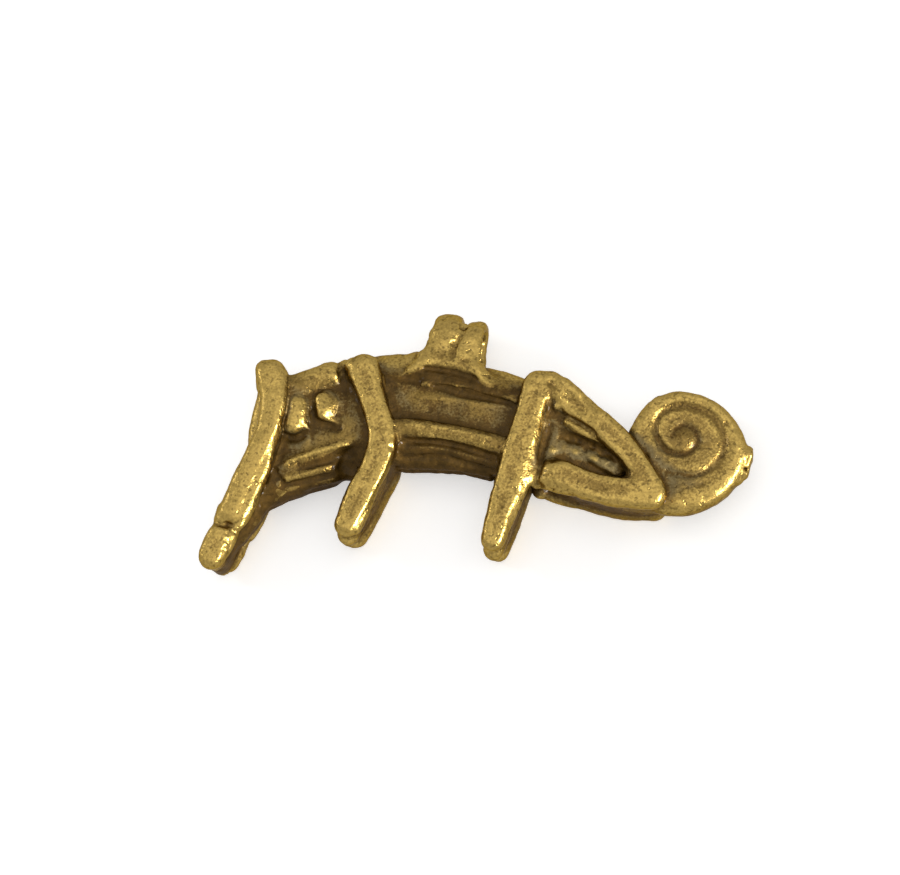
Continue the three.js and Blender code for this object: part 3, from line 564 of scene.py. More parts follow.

# The sides are free of painted shade from this share of the half thickness on, and fully shaded this much
# further in. Where they turn upwards the painted shade fades this fast.
SIDE_UNSHADED = 0.68
SIDE_FADE = 0.35
SIDE_UPWARD = 1.6

# How much more, or less, than the rest an element was rubbed, with painted light in it: the lower rib and
# the belly thread are darker as painted shade on undersides, the eye's halves lighter as a painted
# highlight; and how far that blurs
RUBBING_AND_PAINTED_LIGHT = {
    "crest_bar": 0.08,
    "foreleg": 0.01,
    "hind_leg": 0.01,
    "haunch_strip": -0.07,
    "eye_front_lobe": 0.08,
    "eye_rear_lobe": 0.04,
    "cord_eye_front_thread": 0.16,
    "cord_eye_rear_thread": 0.14,
    "casting_gate_stub": 0.1,
    "trunk_core": -0.1,
    "head_core": -0.12,
    "forefoot_web": -0.1,
    "hindfoot_web": -0.1,
    "lower_rib": -0.4,
    "belly_thread": -0.45,
    "middle_rib": -0.22,
    "upper_rib": -0.5,
    "saddle": -0.05,
    "lower_lip_thread": -0.2,
    "upper_lip_thread": -0.12,
    "jaw_thread": -0.28,
    "nape_roll": -0.1,
    "eye_thread": -0.2,
    "tail_coil": 0.05,
}
WEAR_AND_LIGHT_BLUR = 0.25 * MM

# Where single places were rubbed more, or less, or are painted lighter or darker as light and shade: how
# much and how wide in mm, then places as above
LIGHTER_AND_DARKER_PLACES = (
    # a painted shadow lies below the plate of the cord eye, painted shade and dirt on the belly, and it
    # is darker in the mouth, in the recess, on the coil, on the flat band and at the jaw
    (-0.3, 0.5, ((-3.2, 6.6), (0.5, 6.1), (3.0, 5.4), (5.5, 4.6))),
    (-0.25, 0.6, ((-14.0, -2.8), (-11.5, -2.2), (-9.8, -1.6))),
    (-0.25, 0.8, ((-10.8, -2.0), (-9.8, -3.2))),
    (-0.2, 0.7, ((-4.6, -1.6), (0.0, -1.8), (4.4, -3.0))),
    (-0.15, 0.4, ((11.7, 0.3), (13.4, -0.6), (14.6, -1.0))),
    (-0.26, 0.8, ((23.4, 0.3),)),
    (-0.18, 0.8, ((22.5, 4.2), (24.5, 4.2))),
    (-0.06, 1.0, ((-3.5, 2.9), (0.5, 2.6), (5.0, 1.6))),
    (-0.3, 0.45, ((-14.8, -4.5), (-11.5, -3.7))),
    # painted highlights lie on the feet of the cord eye, on the crumbs next to the hind leg and on the
    # front half of the eye; the ground of the recess and the cheek are lighter
    (0.2, 0.35, ((-4.1, 6.7), (-3.1, 7.3), (-2.2, 7.9))),
    (0.2, 0.35, ((3.0, 9.2), (2.7, 7.2), (3.2, 5.9), (4.0, 5.5))),
    (0.35, 0.25, ((11.0, 3.7), (10.9, 2.9))),
    (0.35, 0.3, ((10.9, -1.2), (10.1, -1.3), (9.5, -2.7))),
    (0.3, 0.6, ((11.4, 3.4), (12.4, 2.7), (13.6, 1.9))),
    (0.3, 0.5, ((12.6, -1.5), (14.6, -2.1), (16.4, -2.9), (17.4, -3.4))),
    (0.12, 0.7, ((-15.7, 3.3), (-16.0, 1.2))),
    (0.12, 0.7, ((-14.6, -0.9), (-12.0, -0.6))),
    # the feet are duller
    (-0.12, 0.8, ((-8.4, -6.4), (-9.6, -9.4))),
    (-0.12, 0.8, ((6.0, -6.8), (4.8, -10.2))),
    # the back is cleaner
    (0.25, 0.9, ((-6.8, 7.3), (-4.2, 7.6))),
    (0.15, 0.9, ((3.6, 7.2), (6.6, 6.2))),
    # and the knee is lighter, as rubbing and as a painted highlight
    (0.25, 0.9, ((19.3, -5.3),)),
)


class Casting:
    """The distance to the cast surface on one grid, and each wax element's own distance."""

    def __init__(self, sizes, coarser):
        self.cell = sizes.voxel * coarser
        self.low = np.array(cad_low) - MARGIN
        high = np.array(cad_high) + MARGIN
        self.shape = tuple(int(n) for n in np.ceil((high - self.low) / self.cell))
        self.random = np.random.default_rng(sizes.seed)
        self.elements = {}
        for name, node in sorted(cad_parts.items()):
            self.elements[name] = self.element(name, node, sizes.softness)
        self.nearest, self.second, self.owner = self.ranks()
        self.surface = self.fused(sizes.melt)
        self.web()
        self.floor_coil()
        self.model()
        self.flatten()
        self.roughen(sizes)
        self.shelter = {title: self.shut_in(reach) for title, reach in SHELTER.items()}
        self.rubbed_and_lit = self.wear_and_light_field()

    def element(self, name, node, softness):
        """(first cell, distances) of a wax element with softened edges, over its box."""
        mesh = node.data
        mesh.calc_loop_triangles()
        points = np.empty(len(mesh.vertices) * 3, np.float32)
        mesh.vertices.foreach_get("co", points)
        faces = np.empty(len(mesh.loop_triangles) * 3, np.int32)
        mesh.loop_triangles.foreach_get("vertices", faces)
        points = (points.reshape(-1, 3) - self.low) / self.cell
        reach = BAND / self.cell
        grid = openvdb.FloatGrid.createLevelSetFromPolygons(
            points.astype(np.float32),
            triangles=faces.reshape(-1, 3).astype(np.uint32),
            transform=openvdb.createLinearTransform(1.0),
            halfWidth=reach,
        )
        first = np.maximum(np.floor(points.min(0) - reach).astype(int), 0)
        last = np.minimum(np.ceil(points.max(0) + reach).astype(int) + 1, self.shape)
        distances = np.full(last - first, BAND, np.float32)
        grid.copyToArray(distances, ijk=tuple(int(n) for n in first))
        distances = distances * self.cell
        kind = plain_name(name)
        share = THIN_SHARE if kind in THIN else THICK_SHARE
        softness = min(SOFTNESS.get(kind, softness), -share * float(distances.min()))
        return first, blurred(distances, softness / self.cell) - SWELL.get(name, SWELL.get(kind, 0))

    def part(self, first, block):
        """The slices of the whole grid that a box of cells covers."""
        return tuple(slice(a, a + n) for a, n in zip(first, block.shape))

    def ranks(self):
        """The least and the second least distance to any element at each cell, and whose the least is."""
        nearest = np.full(self.shape, BAND, np.float32)
        second = nearest.copy()
        owner = np.full(self.shape, -1, np.int16)
        for i, (first, block) in enumerate(self.elements.values()):
            at = self.part(first, block)
            best = nearest[at]
            closer = block < best
            second[at] = np.where(closer, best, np.minimum(second[at], block))
            owner[at] = np.where(closer, i, owner[at])
            nearest[at] = np.where(closer, block, best)
        return nearest, second, owner

    def fused(self, melt):
        """The elements melted together."""
        total = np.full(self.shape, math.exp(-BAND / melt), np.float64)
        for first, block in self.elements.values():
            total[self.part(first, block)] += np.exp(-block.astype(np.float64) / melt)
        return blurred((-melt * np.log(total)).astype(np.float32), FUSED_BLUR)

    def axis(self, number):
        """The middles of the cells along one axis."""
        return self.low[number] + (np.arange(self.shape[number]) + 0.5) * self.cell

    def web(self):
        """Joins twins on the two flanks by metal between them."""
        height = np.abs(self.axis(2) - LOOK_AT.z) - WEB_HALF
        for kind in WEBBED:
            first, block = self.elements["left_" + kind]
            at = self.part(first, block)[:2]
            outline = block.min(axis=2) + WEB_SETBACK
            wall = np.maximum(outline[:, :, None], height[None, None, :]).astype(np.float32)
            self.surface[at] = soft_least(self.surface[at], wall, WEB_MELT)

    def floor_coil(self):
        """Fills the coil between its turns, up to a shallow groove."""
        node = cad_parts["tail_coil"]
        points = np.array([v.co for v in node.data.vertices])
        low, high = points.min(0), points.max(0)
        radius = (high[1] - low[1]) / 2
        middle = np.array((high[0] - radius, (high[1] + low[1]) / 2))
        self.coil = middle, radius
        steps = COIL_BEARINGS
        away = points[:, :2] - middle
        turn = (np.arctan2(away[:, 1], away[:, 0]) / math.tau * steps).astype(int) % steps
        edge = np.zeros(steps)
        np.maximum.at(edge, turn, np.hypot(*away.T))
        edge = np.minimum(edge, radius * COIL_OUTERMOST)
        edge = (edge + np.roll(edge, 1) + np.roll(edge, -1)) / 3
        x, y, z = (self.axis(number) for number in range(3))
        x, y = np.meshgrid(x - middle[0], y - middle[1], indexing="ij")
        bearing = np.arctan2(y, x) / math.tau * steps % steps
        rim = np.interp(bearing, np.arange(steps + 1), np.append(edge, edge[0]))
        sideways = np.hypot(x, y) - rim + COIL_RIM
        thickness = (high[2] - low[2]) / 2 - COIL_FLOOR
        upright = np.abs(z - (high[2] + low[2]) / 2) - thickness
        disc = np.maximum(sideways[:, :, None], upright[None, None, :]).astype(np.float32)
        self.surface = soft_least(self.surface, disc, WEB_MELT)

    def model(self):
        """Fills in wax and works the strokes of the modelling tool into both flanks."""
        for fillings, sides in ((FILLINGS, (1, -1)), (LEFT_FILLINGS, (1,))):
            for radius, depth, places in fillings:
                self.fill(radius * MM, depth * MM, smooth_line(places, FINE_STEP), sides)
        molten = blurred(self.surface, SOFTENED_BLUR / self.cell)
        for radius, places in SOFTENED:
            self.soften(molten, radius, places)
        for stroke in STROKES:
            self.stroke(*stroke)

    def fill(self, radius, depth, places, sides):
        """Lays a thread of wax at a distance from the mid-plane, on the left side 1 or right side -1."""
        for u, v in places:
            eye, aim = sight(u, v)
            mark = eye + (aim - eye) * ((LOOK_AT.z + depth - eye.z) / (aim.z - eye.z))
            for side in sides:
                self.pellet((mark.x, mark.y, LOOK_AT.z + side * depth), radius)

    def pellet(self, middle, radius):
        """Melts a ball of wax into the surface."""
        reach = radius + FILLING_REACH
        at, axes = self.box(np.array(middle) - reach, np.array(middle) + reach)
        squares = [(axis - m) ** 2 for axis, m in zip(axes, middle)]
        square = squares[0][:, None, None] + squares[1][None, :, None] + squares[2][None, None, :]
        ball = (np.sqrt(square) - radius).astype(np.float32)
        self.surface[at] = soft_least(self.surface[at], ball, FILLING_MELT)

    def box(self, low, high):
        """The slices of the whole grid between two corners, and the middles of their cells."""
        first = np.maximum(((low - self.low) / self.cell).astype(int), 0)
        last = np.minimum(np.ceil((high - self.low) / self.cell).astype(int), self.shape)
        axes = [self.axis(number)[a:b] for number, (a, b) in enumerate(zip(first, last))]
        return tuple(slice(a, b) for a, b in zip(first, last)), axes

    def seen(self, u, v):
        """The point of the surface that the camera sees at a place on its picture, in mm there."""
        eye, aim = (np.array(point) for point in sight(u, v))
        share = (np.linspace(SIGHT_TOP, 0, SIGHT_PLACES) * MM - eye[2]) / (aim[2] - eye[2])
        points = eye + share[:, None] * (aim - eye)
        depth = self.read(self.surface, (points - self.low) / self.cell - 0.5)
        inside = np.nonzero(depth < 0)[0]
        return points[inside[0]] if len(inside) else points[np.abs(depth).argmin()]

    def stroke(self, height, width, places, step=FINE_STEP):
        """Raises a ridge along places seen in the picture, or with a height below zero a groove."""
        for marks in self.both_flanks(smooth_line(places, step)):
            at, near = self.nearness(marks, fading(len(marks)), width * MM)
            self.surface[at] -= height * MM * near

    def soften(self, molten, radius, places):
        """Lets the surface run into its blurred self near a line of places."""
        for marks in self.both_flanks(smooth_line(places, COARSE_STEP)):
            at, near = self.nearness(marks, np.ones(len(marks)), radius * SOFTENED_BELL * MM)
            share = np.minimum(1, SOFTENED_CORE * near)
            self.surface[at] += (molten[at] - self.surface[at]) * share

    def both_flanks(self, places):
        """The points of the left flank that the camera sees at places, and their twins."""
        marks = np.array([self.seen(u, v) for u, v in places])
        return marks, marks * (1, 1, -1) + (0, 0, 2 * LOOK_AT.z)

    def nearness(self, marks, strength, width):
        """A box of cells round marks, and how near its cells are to them: 1 at a mark of strength 1."""
        reach = BELL_REACH * width
        at, axes = self.box(marks.min(0) - reach, marks.max(0) + reach)
        best = np.zeros([len(axis) for axis in axes], np.float32)
        for mark, share in zip(marks, strength):
            bells = [np.exp(-(((axis - m) / width) ** 2) / 2) for axis, m in zip(axes, mark)]
            bell = bells[0][:, None, None] * bells[1][None, :, None] * bells[2][None, None, :]
            best = np.maximum(best, share * bell)
        return at, best

    def flatten(self):
        """Presses both flanks flat, as they lay on the maker's board."""
        over = np.abs(self.axis(2) - LOOK_AT.z).astype(np.float32) - FLAT_TOP
        self.surface = -soft_least(-self.surface, -over[None, None, :], FLAT_MELT)

    def noise(self, wave):
        """Smooth seeded noise from -1 to 1, with waves that long."""
        cells = wave / self.cell
        lattice = [int(n / cells) + 3 for n in self.shape]
        return spread(self.random.uniform(-1, 1, lattice).astype(np.float32), self.shape, cells)

    def roughen(self, sizes):
        """Hand-made waves, lumps and pits, as part of the shape."""
        for height, waves in ((sizes.unevenness, WAVES), (sizes.grain, GRAIN)):
            self.surface += height * sum(share * self.noise(wave) for wave, share in waves)
        close = np.argwhere(np.abs(self.surface) < 0.5 * self.cell)
        picked = close[self.random.integers(0, len(close), sizes.pit_count)]
        radii = self.random.uniform(*PIT_RADII, sizes.pit_count) * MM
        depths = sizes.pit_depth * self.random.uniform(PIT_LEAST, 1, sizes.pit_count) ** 2
        for place, radius, depth in zip(picked, radii, depths):
            self.dent(self.low + (place + 0.5) * self.cell, radius, depth)

    def dent(self, place, radius, depth):
        """Takes a soft dent out of the surface at a place."""
        reach = int(math.ceil(BELL_REACH * radius / self.cell))
        middle = (np.asarray(place) - self.low) / self.cell
        first = np.maximum(np.round(middle).astype(int) - reach, 0)
        last = np.minimum(np.round(middle).astype(int) + reach + 1, self.shape)
        squares = [(np.arange(a, b) - m) ** 2 for a, b, m in zip(first, last, middle)]
        square = squares[0][:, None, None] + squares[1][None, :, None] + squares[2][None, None, :]
        at = tuple(slice(a, b) for a, b in zip(first, last))
        self.surface[at] += depth * np.exp(-square * (self.cell / radius) ** 2 / 2)

    def shut_in(self, reach):
        """Share of metal within reach: a half on a flat, more in a hollow, less on an edge."""
        metal = np.clip(0.5 - self.surface / self.cell, 0, 1).astype(np.float32)
        return blurred(metal, reach / self.cell)

    def wear_and_light_field(self):
        """How much lighter than the rest each element is, by rubbing and by painted light and shade,
        blurred where elements meet.
        """
        shares = [RUBBING_AND_PAINTED_LIGHT.get(plain_name(name), 0) for name in self.elements]
        shares = np.array([*shares, 0], np.float32)
        rubbed_and_lit = blurred(shares[self.owner], WEAR_AND_LIGHT_BLUR / self.cell)
        for amount, width, places in LIGHTER_AND_DARKER_PLACES:
            for marks in self.both_flanks(smooth_line(places, COARSE_STEP)):
                at, near = self.nearness(marks, np.ones(len(marks)), width * MM)
                rubbed_and_lit[at] += amount * near
        return rubbed_and_lit

    def read(self, field, points):
        """The field at points, in cells of the grid, between the cells' values."""
        low = np.clip(points.astype(int), 0, np.array(self.shape) - 2)
        share = points - low
        value = 0
        for corner in np.ndindex(2, 2, 2):
            weight = np.prod(np.where(corner, share, 1 - share), axis=1)
            value = value + weight * field[tuple((low + corner).T)]
        return value

    def piece(self, name):
        """(points, faces) of one element's share of the casting. It dives under its neighbours' skins."""
        names = list(self.elements)
        first, block = self.elements[name]
        at = self.part(first, block)
        mine = self.owner[at] == names.index(name)
        other = np.where(mine, self.second[at], self.nearest[at])
        beyond = np.maximum(0, block - other) / 2
        field = self.surface[at] + beyond**2 / DIVE
        outside = BAND / self.cell
        field = np.pad(field / self.cell, 1, constant_values=outside)
        grid = openvdb.FloatGrid(outside)
        grid.copyFromArray(field.astype(np.float32))
        points, faces = grid.convertToQuads(0.0)
        points, faces = largest_shell(np.array(points), np.array(faces))
        return points + first - 1, faces


def largest_shell(points, faces):
    """The connected shell with the most faces, with its points renumbered."""
    label = np.arange(len(points))
    while True:
        least = label[faces].min(axis=1)
        new = label.copy()
        np.minimum.at(new, faces.ravel(), np.repeat(least, faces.shape[1]))
        new = new[new]
        if (new == label).all():
            break
        label = new
    shells, counts = np.unique(label[faces[:, 0]], return_counts=True)
    kept = label == shells[counts.argmax()]
    number = np.cumsum(kept) - 1
    return points[kept], number[faces[kept[faces[:, 0]]]]


@functools.cache
def casting():
    """The casting, worked out once."""
    coarser = 1
    return Casting(bpy.context.scene.amulet_casting, coarser)


def plain_name(name):
    """The name of an element without its side."""
    return name.removeprefix("left_").removeprefix("right_")


def painted_shade_and_unrubbed(name, mesh, coil):
    """How much darker each point is: painted shade and less rubbing on the sides, painted shade on
    undersides and the right flank, and darker in the coil's middle.
    """
    places, normals = np.empty(len(mesh.vertices) * 3), np.empty(len(mesh.vertices) * 3)
    mesh.vertices.foreach_get("co", places)
    mesh.vertex_normals.foreach_get("vector", normals)
    places, upward = places.reshape(-1, 3), normals.reshape(-1, 3)[:, 1]
    height = places[:, 2] - LOOK_AT.z
    # painted shade between the flanks together with less rubbing, lighter where the surface turns upwards
    side = np.clip((SIDE_UNSHADED - np.abs(height) / np.abs(height).max()) / SIDE_FADE, 0, 1)
    shade_and_less_rubbing = SIDE_SHADE_AND_DIRT * side * (1 - np.clip(SIDE_UPWARD * upward, 0, 1))
    # painted shade on the right flank, which lies low
    shade_and_less_rubbing += RIGHT_FLANK_SHADE * (height < 0)
    # painted shade on the undersides of some elements
    if plain_name(name) in SHADED_UNDERSIDES:
        shade_and_less_rubbing += UNDERSIDE_SHADE * np.clip(-upward, 0, 1)
    # darker towards the coil's middle
    if name == "tail_coil":
        middle, radius = coil
        shade_and_less_rubbing += COIL_MIDDLE_DARKENING * np.clip(1 - np.hypot(*(places[:, :2] - middle).T) / radius, 0, 1)
    return shade_and_less_rubbing


def number_points(mesh, title, values):
    """Keeps a number for each point of a mesh, which a material reads by its title."""
    layer = mesh.attributes.new(title, "FLOAT", "POINT")
    layer.data.foreach_set("value", values.astype(np.float32))


def cast_piece(name, finish):
    """Makes one wax element as a piece of the casting, in place of its node."""
    field = casting()
    points, faces = field.piece(name)
    mesh = bpy.data.meshes.new("cast_" + name)
    mesh.from_pydata((field.low + points * field.cell).tolist(), [], faces.tolist())
    mesh.polygons.foreach_set("use_smooth", np.ones(len(mesh.polygons), bool))
    for title, shelter in field.shelter.items():
        number_points(mesh, title, field.read(shelter, points))
    mesh.update()
    # the rubbing with its painted light, less the painted shade on the sides, undersides and right flank
    rubbed_and_lit = field.read(field.rubbed_and_lit, points) - painted_shade_and_unrubbed(name, mesh, field.coil)
    number_points(mesh, "rubbed_and_painted_light", rubbed_and_lit)
    piece = bpy.data.objects.new("cast_" + name, mesh)
    bpy.context.scene.collection.objects.link(piece)
    piece.data.materials.append(brass(finish))
    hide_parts(name)
    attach(piece, "root")
    return piece


# Brass


class Wire:
    """A shader socket that can be reckoned with."""

    def __init__(self, shader, socket):
        self.shader = shader
        self.socket = socket

    def math(self, operation, other):
        return self.shader.node("ShaderNodeMath", {"operation": operation}, {0: self, 1: other})

    def __add__(self, other):
        return self.math("ADD", other)

    def __mul__(self, other):
        return self.math("MULTIPLY", other)

    def __sub__(self, other):
        return self.math("SUBTRACT", other)

    def __rsub__(self, other):
        return self.shader.node("ShaderNodeMath", {"operation": "SUBTRACT"}, {0: other, 1: self})

    __radd__ = __add__
    __rmul__ = __mul__

    def ramp(self, start, end):
        """0 up to start and 1 from end on, smooth between. Start may be the larger one."""
        settings = {"interpolation_type": "SMOOTHSTEP"}
        sockets = {"Value": self, "From Min": start, "From Max": end}
        return self.shader.node("ShaderNodeMapRange", settings, sockets)


class Shader:
    """Makes the nodes of one material, or of the world."""

    def __init__(self, owner):
        owner.use_nodes = True
        self.tree = owner.node_tree
        self.tree.nodes.clear()

    def node(self, kind, settings=None, sockets=None, out=0):
        """One node of a kind, with its settings set first and then its sockets set or linked."""
        node = self.tree.nodes.new(kind)
        for key, value in (settings or {}).items():
            setattr(node, key, value)
        for key, value in (sockets or {}).items():
            if isinstance(value, Wire):
                self.tree.links.new(value.socket, node.inputs[key])
            else:
                node.inputs[key].default_value = value
        return Wire(self, node.outputs[out]) if node.outputs else None

    def mix(self, share, first, second):
        """A colour between two colours."""
        first, second = (
            value if isinstance(value, Wire) else (*value, 1.0) for value in (first, second)
        )
        sockets = {0: share, 6: first, 7: second}
        return self.node("ShaderNodeMix", {"data_type": "RGBA"}, sockets, out=2)

    def noise(self, place, scale, detail, roughness):
        """Noise in 3-D, with so many waves to the metre."""
        sockets = {"Vector": place, "Scale": scale, "Detail": detail, "Roughness": roughness}
        return self.node("ShaderNodeTexNoise", sockets=sockets, out="Fac")

    def number(self, title):
        """The number that the piece's mesh keeps for each point."""
        return self.node("ShaderNodeAttribute", {"attribute_name": title}, out="Fac")


# How rough each slot's brass is where it is clean, and how much rougher dirt, film and mottle make it
ROUGHNESS = {"rubbed_brass": 0.31, "brass": 0.34, "browned_brass": 0.38}
DIRT_ROUGHNESS = 0.3
FILM_ROUGHNESS = 0.15
MOTTLE_ROUGHNESS = 0.2

# A place is worn or dirty by its shelter and by its rubbing, which carries painted light, on a scale from
# below 0 at an edge
# to above 0 in a crease: how much a fold and a wider hollow count there beside a crease, and how far the
# noises shift it
FOLD_SHARE = 1.2
HOLLOW_SHARE = 0.5
BLOTCHES_SHIFT = 0.22
MOTTLE_SHIFT = 0.2
GRAIN_SHIFT = 0.38

# On that scale, from dull metal to metal worn bright or with a painted highlight, and from clean metal to
# thick dirt or painted shade
WORN = (0.02, -0.22)
DIRTY = (0.08, 0.32)

# From clean metal to a full film, by how wide a hollow it is in, and how much blotches add to that, and
# lying low on the right flank, which adds the film as painted shade
FILMED = (-0.03, 0.07)
BLOTCHES_FILM = 0.25
LYING_LOW_SHADE_FILM = 0.15

# From bare metal to a full fleck, to brown grain, and from brown dirt to warm brown dirt, by the noise
FLECKED = (0.59, 0.7)
GRAINY = (-0.3, 0.3)
WARM = (-0.25, 0.3)

# How much of the metal's colour the film, the flecks, the grain and the dirt with its painted shade take
# away where they are thickest, and how much of its metal look the dirt and painted shade take
FILM_COVER = 0.75
FLECK_COVER = 0.45
GRAIN_COVER = 0.45
DIRT_COVER = 0.9
DIRT_DULLING = 0.25

# How deep the bumps of the skin look, how strongly, and what share the mottle, the grain and the pits
# at the flecks have in them
BUMP_DEPTH = 0.09 * MM
BUMP_STRENGTH = 0.85
MOTTLE_BUMPS = 0.6
GRAIN_BUMPS = 0.5
FLECK_PITS = 0.3
PITTED = (0.6, 0.72)


def brass(finish):
    """The aged brass of one slot: worn bright on what stands out, brown in the hollows, with painted
    shade on the sides, undersides and right flank and painted highlights in a few places.
    """
    title = "cast_" + finish
    if title in bpy.data.materials:
        return bpy.data.materials[title]
    colours = bpy.context.scene.amulet_finish
    material = bpy.data.materials.new(title)
    shader = Shader(material)
    place = shader.node("ShaderNodeTexCoord", out="Object")

    # above 0 in a crease, a fold or a wider hollow, and below 0 on an edge
    crease, fold, hollow = (shader.number(reach) - 0.5 for reach in SHELTER)
    # less the rubbing, which carries painted shade and painted highlights besides wear
    shelter = crease + fold * FOLD_SHARE + hollow * HOLLOW_SHARE - shader.number("rubbed_and_painted_light")

    # from the broadest patches to single specks
    blotches = shader.noise(place, scale=300.0, detail=4.0, roughness=0.6) - 0.5
    mottle = shader.noise(place, scale=1100.0, detail=3.0, roughness=0.6) - 0.5
    grain = shader.noise(place, scale=4200.0, detail=2.0, roughness=0.6) - 0.5
    flecks = shader.noise(place, scale=2300.0, detail=1.0, roughness=0.5)

    # where the metal is worn or has a painted highlight, where it is dirty or painted with shade, and
    # where a film lies on it, which on the right flank is painted shade
    uneven = shelter + blotches * BLOTCHES_SHIFT + mottle * MOTTLE_SHIFT + grain * GRAIN_SHIFT
    wear_and_highlight = uneven.ramp(*WORN)
    dirt_and_shade = uneven.ramp(*DIRTY)
    # the right flank, lying low, gets the grey-green film as painted shade
    lying_low_shade = shader.node("ShaderNodeSeparateXYZ", sockets={"Vector": place}, out="Z").ramp(LOOK_AT.z, 0)
    film_and_shade = (hollow + blotches * BLOTCHES_FILM + lying_low_shade * LYING_LOW_SHADE_FILM).ramp(*FILMED) * (1.0 - dirt_and_shade)

    metal = shader.mix(wear_and_highlight, colours.dull, colours.bright)
    filmed = shader.mix(film_and_shade * FILM_COVER, metal, colours.patina_and_shade)
    speckled = shader.mix(flecks.ramp(*FLECKED) * FLECK_COVER, filmed, colours.brown)
    grainy = shader.mix(grain.ramp(*GRAINY) * GRAIN_COVER, speckled, colours.brown)
    dirt = shader.mix(mottle.ramp(*WARM), colours.brown, colours.rust)

    rough = ROUGHNESS[finish] + dirt_and_shade * DIRT_ROUGHNESS + film_and_shade * FILM_ROUGHNESS
    height = mottle * MOTTLE_BUMPS + grain * GRAIN_BUMPS - flecks.ramp(*PITTED) * FLECK_PITS
    bumps = {"Strength": BUMP_STRENGTH, "Distance": BUMP_DEPTH, "Height": height}
    look = {
        "Base Color": shader.mix(dirt_and_shade * DIRT_COVER, grainy, dirt),
        "Metallic": 1.0 - dirt_and_shade * DIRT_DULLING,
        "Roughness": rough + mottle * MOTTLE_ROUGHNESS,
        "Normal": shader.node("ShaderNodeBump", sockets=bumps, out="Normal"),
        "Specular IOR Level": 0.12,
        "Specular Tint": (0.55, 0.45, 0.3, 1.0),
        "Coat Weight": 0.1,
        "Coat Roughness": 0.2,
    }
    surface = shader.node("ShaderNodeBsdfPrincipled", sockets=look)
    shader.node("ShaderNodeOutputMaterial", sockets={"Surface": surface})
    return material


# Pieces


class CastOperator:
    """Shared by the operators that cast a group of wax elements, each with its slot's finish."""

    both_sides = True

    def execute(self, context):
        sides = ("left_", "right_") if self.both_sides else ("",)
        for element, finish in self.finishes.items():
            for side in sides:
                cast_piece(side + element, finish)
        return {"FINISHED"}


class AMULET_OT_cores(CastOperator, bpy.types.Operator):
    """Casts the cores of the trunk and of the head"""

    bl_idname = "amulet.cores"
    bl_label = "Cores"
    both_sides = False
    finishes = {"trunk_core": "browned_brass", "head_core": "browned_brass"}


class AMULET_OT_crest(CastOperator, bpy.types.Operator):
    """Casts the crest bars, the pellets at their ends and the nape rolls"""

    bl_idname = "amulet.crest"
    bl_label = "Crest bars and nape rolls"
    finishes = {"crest_bar": "rubbed_brass", "snout_pellet": "rubbed_brass", "nape_roll": "brass"}


class AMULET_OT_eyes(CastOperator, bpy.types.Operator):
    """Casts the half beans of the eyes and the threads in their slits"""

    bl_idname = "amulet.eyes"
    bl_label = "Eyes"
    finishes = {
        "eye_thread": "browned_brass",
        "eye_front_lobe": "rubbed_brass",
        "eye_rear_lobe": "rubbed_brass",
    }


class AMULET_OT_mouth(CastOperator, bpy.types.Operator):
    """Casts the lip threads and the threads at the jaw's edge"""

    bl_idname = "amulet.mouth"
    bl_label = "Mouth threads"
    finishes = {"upper_lip_thread": "brass", "lower_lip_thread": "brass", "jaw_thread": "brass"}


class AMULET_OT_legs(CastOperator, bpy.types.Operator):
    """Casts the forelegs and the hind legs"""

    bl_idname = "amulet.legs"
    bl_label = "Legs"
    finishes = {"foreleg": "rubbed_brass", "hind_leg": "rubbed_brass"}


class AMULET_OT_foot_webs(CastOperator, bpy.types.Operator):
    """Casts the webs that join the feet of each pair"""

    bl_idname = "amulet.foot_webs"
    bl_label = "Foot webs"
    both_sides = False
    finishes = {"forefoot_web": "browned_brass", "hindfoot_web": "browned_brass"}


class AMULET_OT_haunches(CastOperator, bpy.types.Operator):
    """Casts the haunch strips and the threads in their recesses"""

    bl_idname = "amulet.haunches"
    bl_label = "Haunches"
    finishes = {"haunch_strip": "rubbed_brass", "haunch_thread": "brass"}


class AMULET_OT_flank_threads(CastOperator, bpy.types.Operator):
    """Casts the threads along both flanks"""

    bl_idname = "amulet.flank_threads"
    bl_label = "Flank threads"
    finishes = {
        "upper_rib": "brass",
        "middle_rib": "brass",
        "lower_rib": "brass",
        "belly_thread": "brass",
    }


class AMULET_OT_saddles(CastOperator, bpy.types.Operator):
    """Casts the saddles under the cord eye"""

    bl_idname = "amulet.saddles"
    bl_label = "Saddles"
    finishes = {"saddle": "browned_brass"}


class AMULET_OT_cord_eye(CastOperator, bpy.types.Operator):
    """Casts the two threads that the cord runs through"""

    bl_idname = "amulet.cord_eye"
    bl_label = "Cord eye"
    both_sides = False
    finishes = {"cord_eye_front_thread": "rubbed_brass", "cord_eye_rear_thread": "rubbed_brass"}


class AMULET_OT_tail(CastOperator, bpy.types.Operator):
    """Casts the rolled tail and the stub of the casting gate on its rim"""

    bl_idname = "amulet.tail"
    bl_label = "Tail"
    both_sides = False
    finishes = {"tail_coil": "brass", "casting_gate_stub": "rubbed_brass"}


# Stage

# The lowest lumps of the flank rest on the table, which runs this far to each side
TABLE_HEIGHT = -0.16 * MM
TABLE_HALF = 0.6
TABLE_GLOW = 0.5

# How strong the sky is as a light. The camera sees it as plain white.
SKY_LIGHT = 0.45
WHITE = (1.0, 1.0, 1.0, 1.0)

# The lamps: in which direction from the pendant and how far away they are, how wide, how many watts,
# and whether they light all of it or only draw the bright lines along its edges
LAMPS = {
    "key_lamp": ((0.85, -0.4, 0.6), 0.5, 0.1, 5.0, False),
    "roof_lamp": ((0.05, 0.05, 1.0), 0.6, 0.5, 0.75, True),
    "side_lamp": ((-0.9, 0.3, 0.6), 0.6, 0.12, 0.45, True),
}


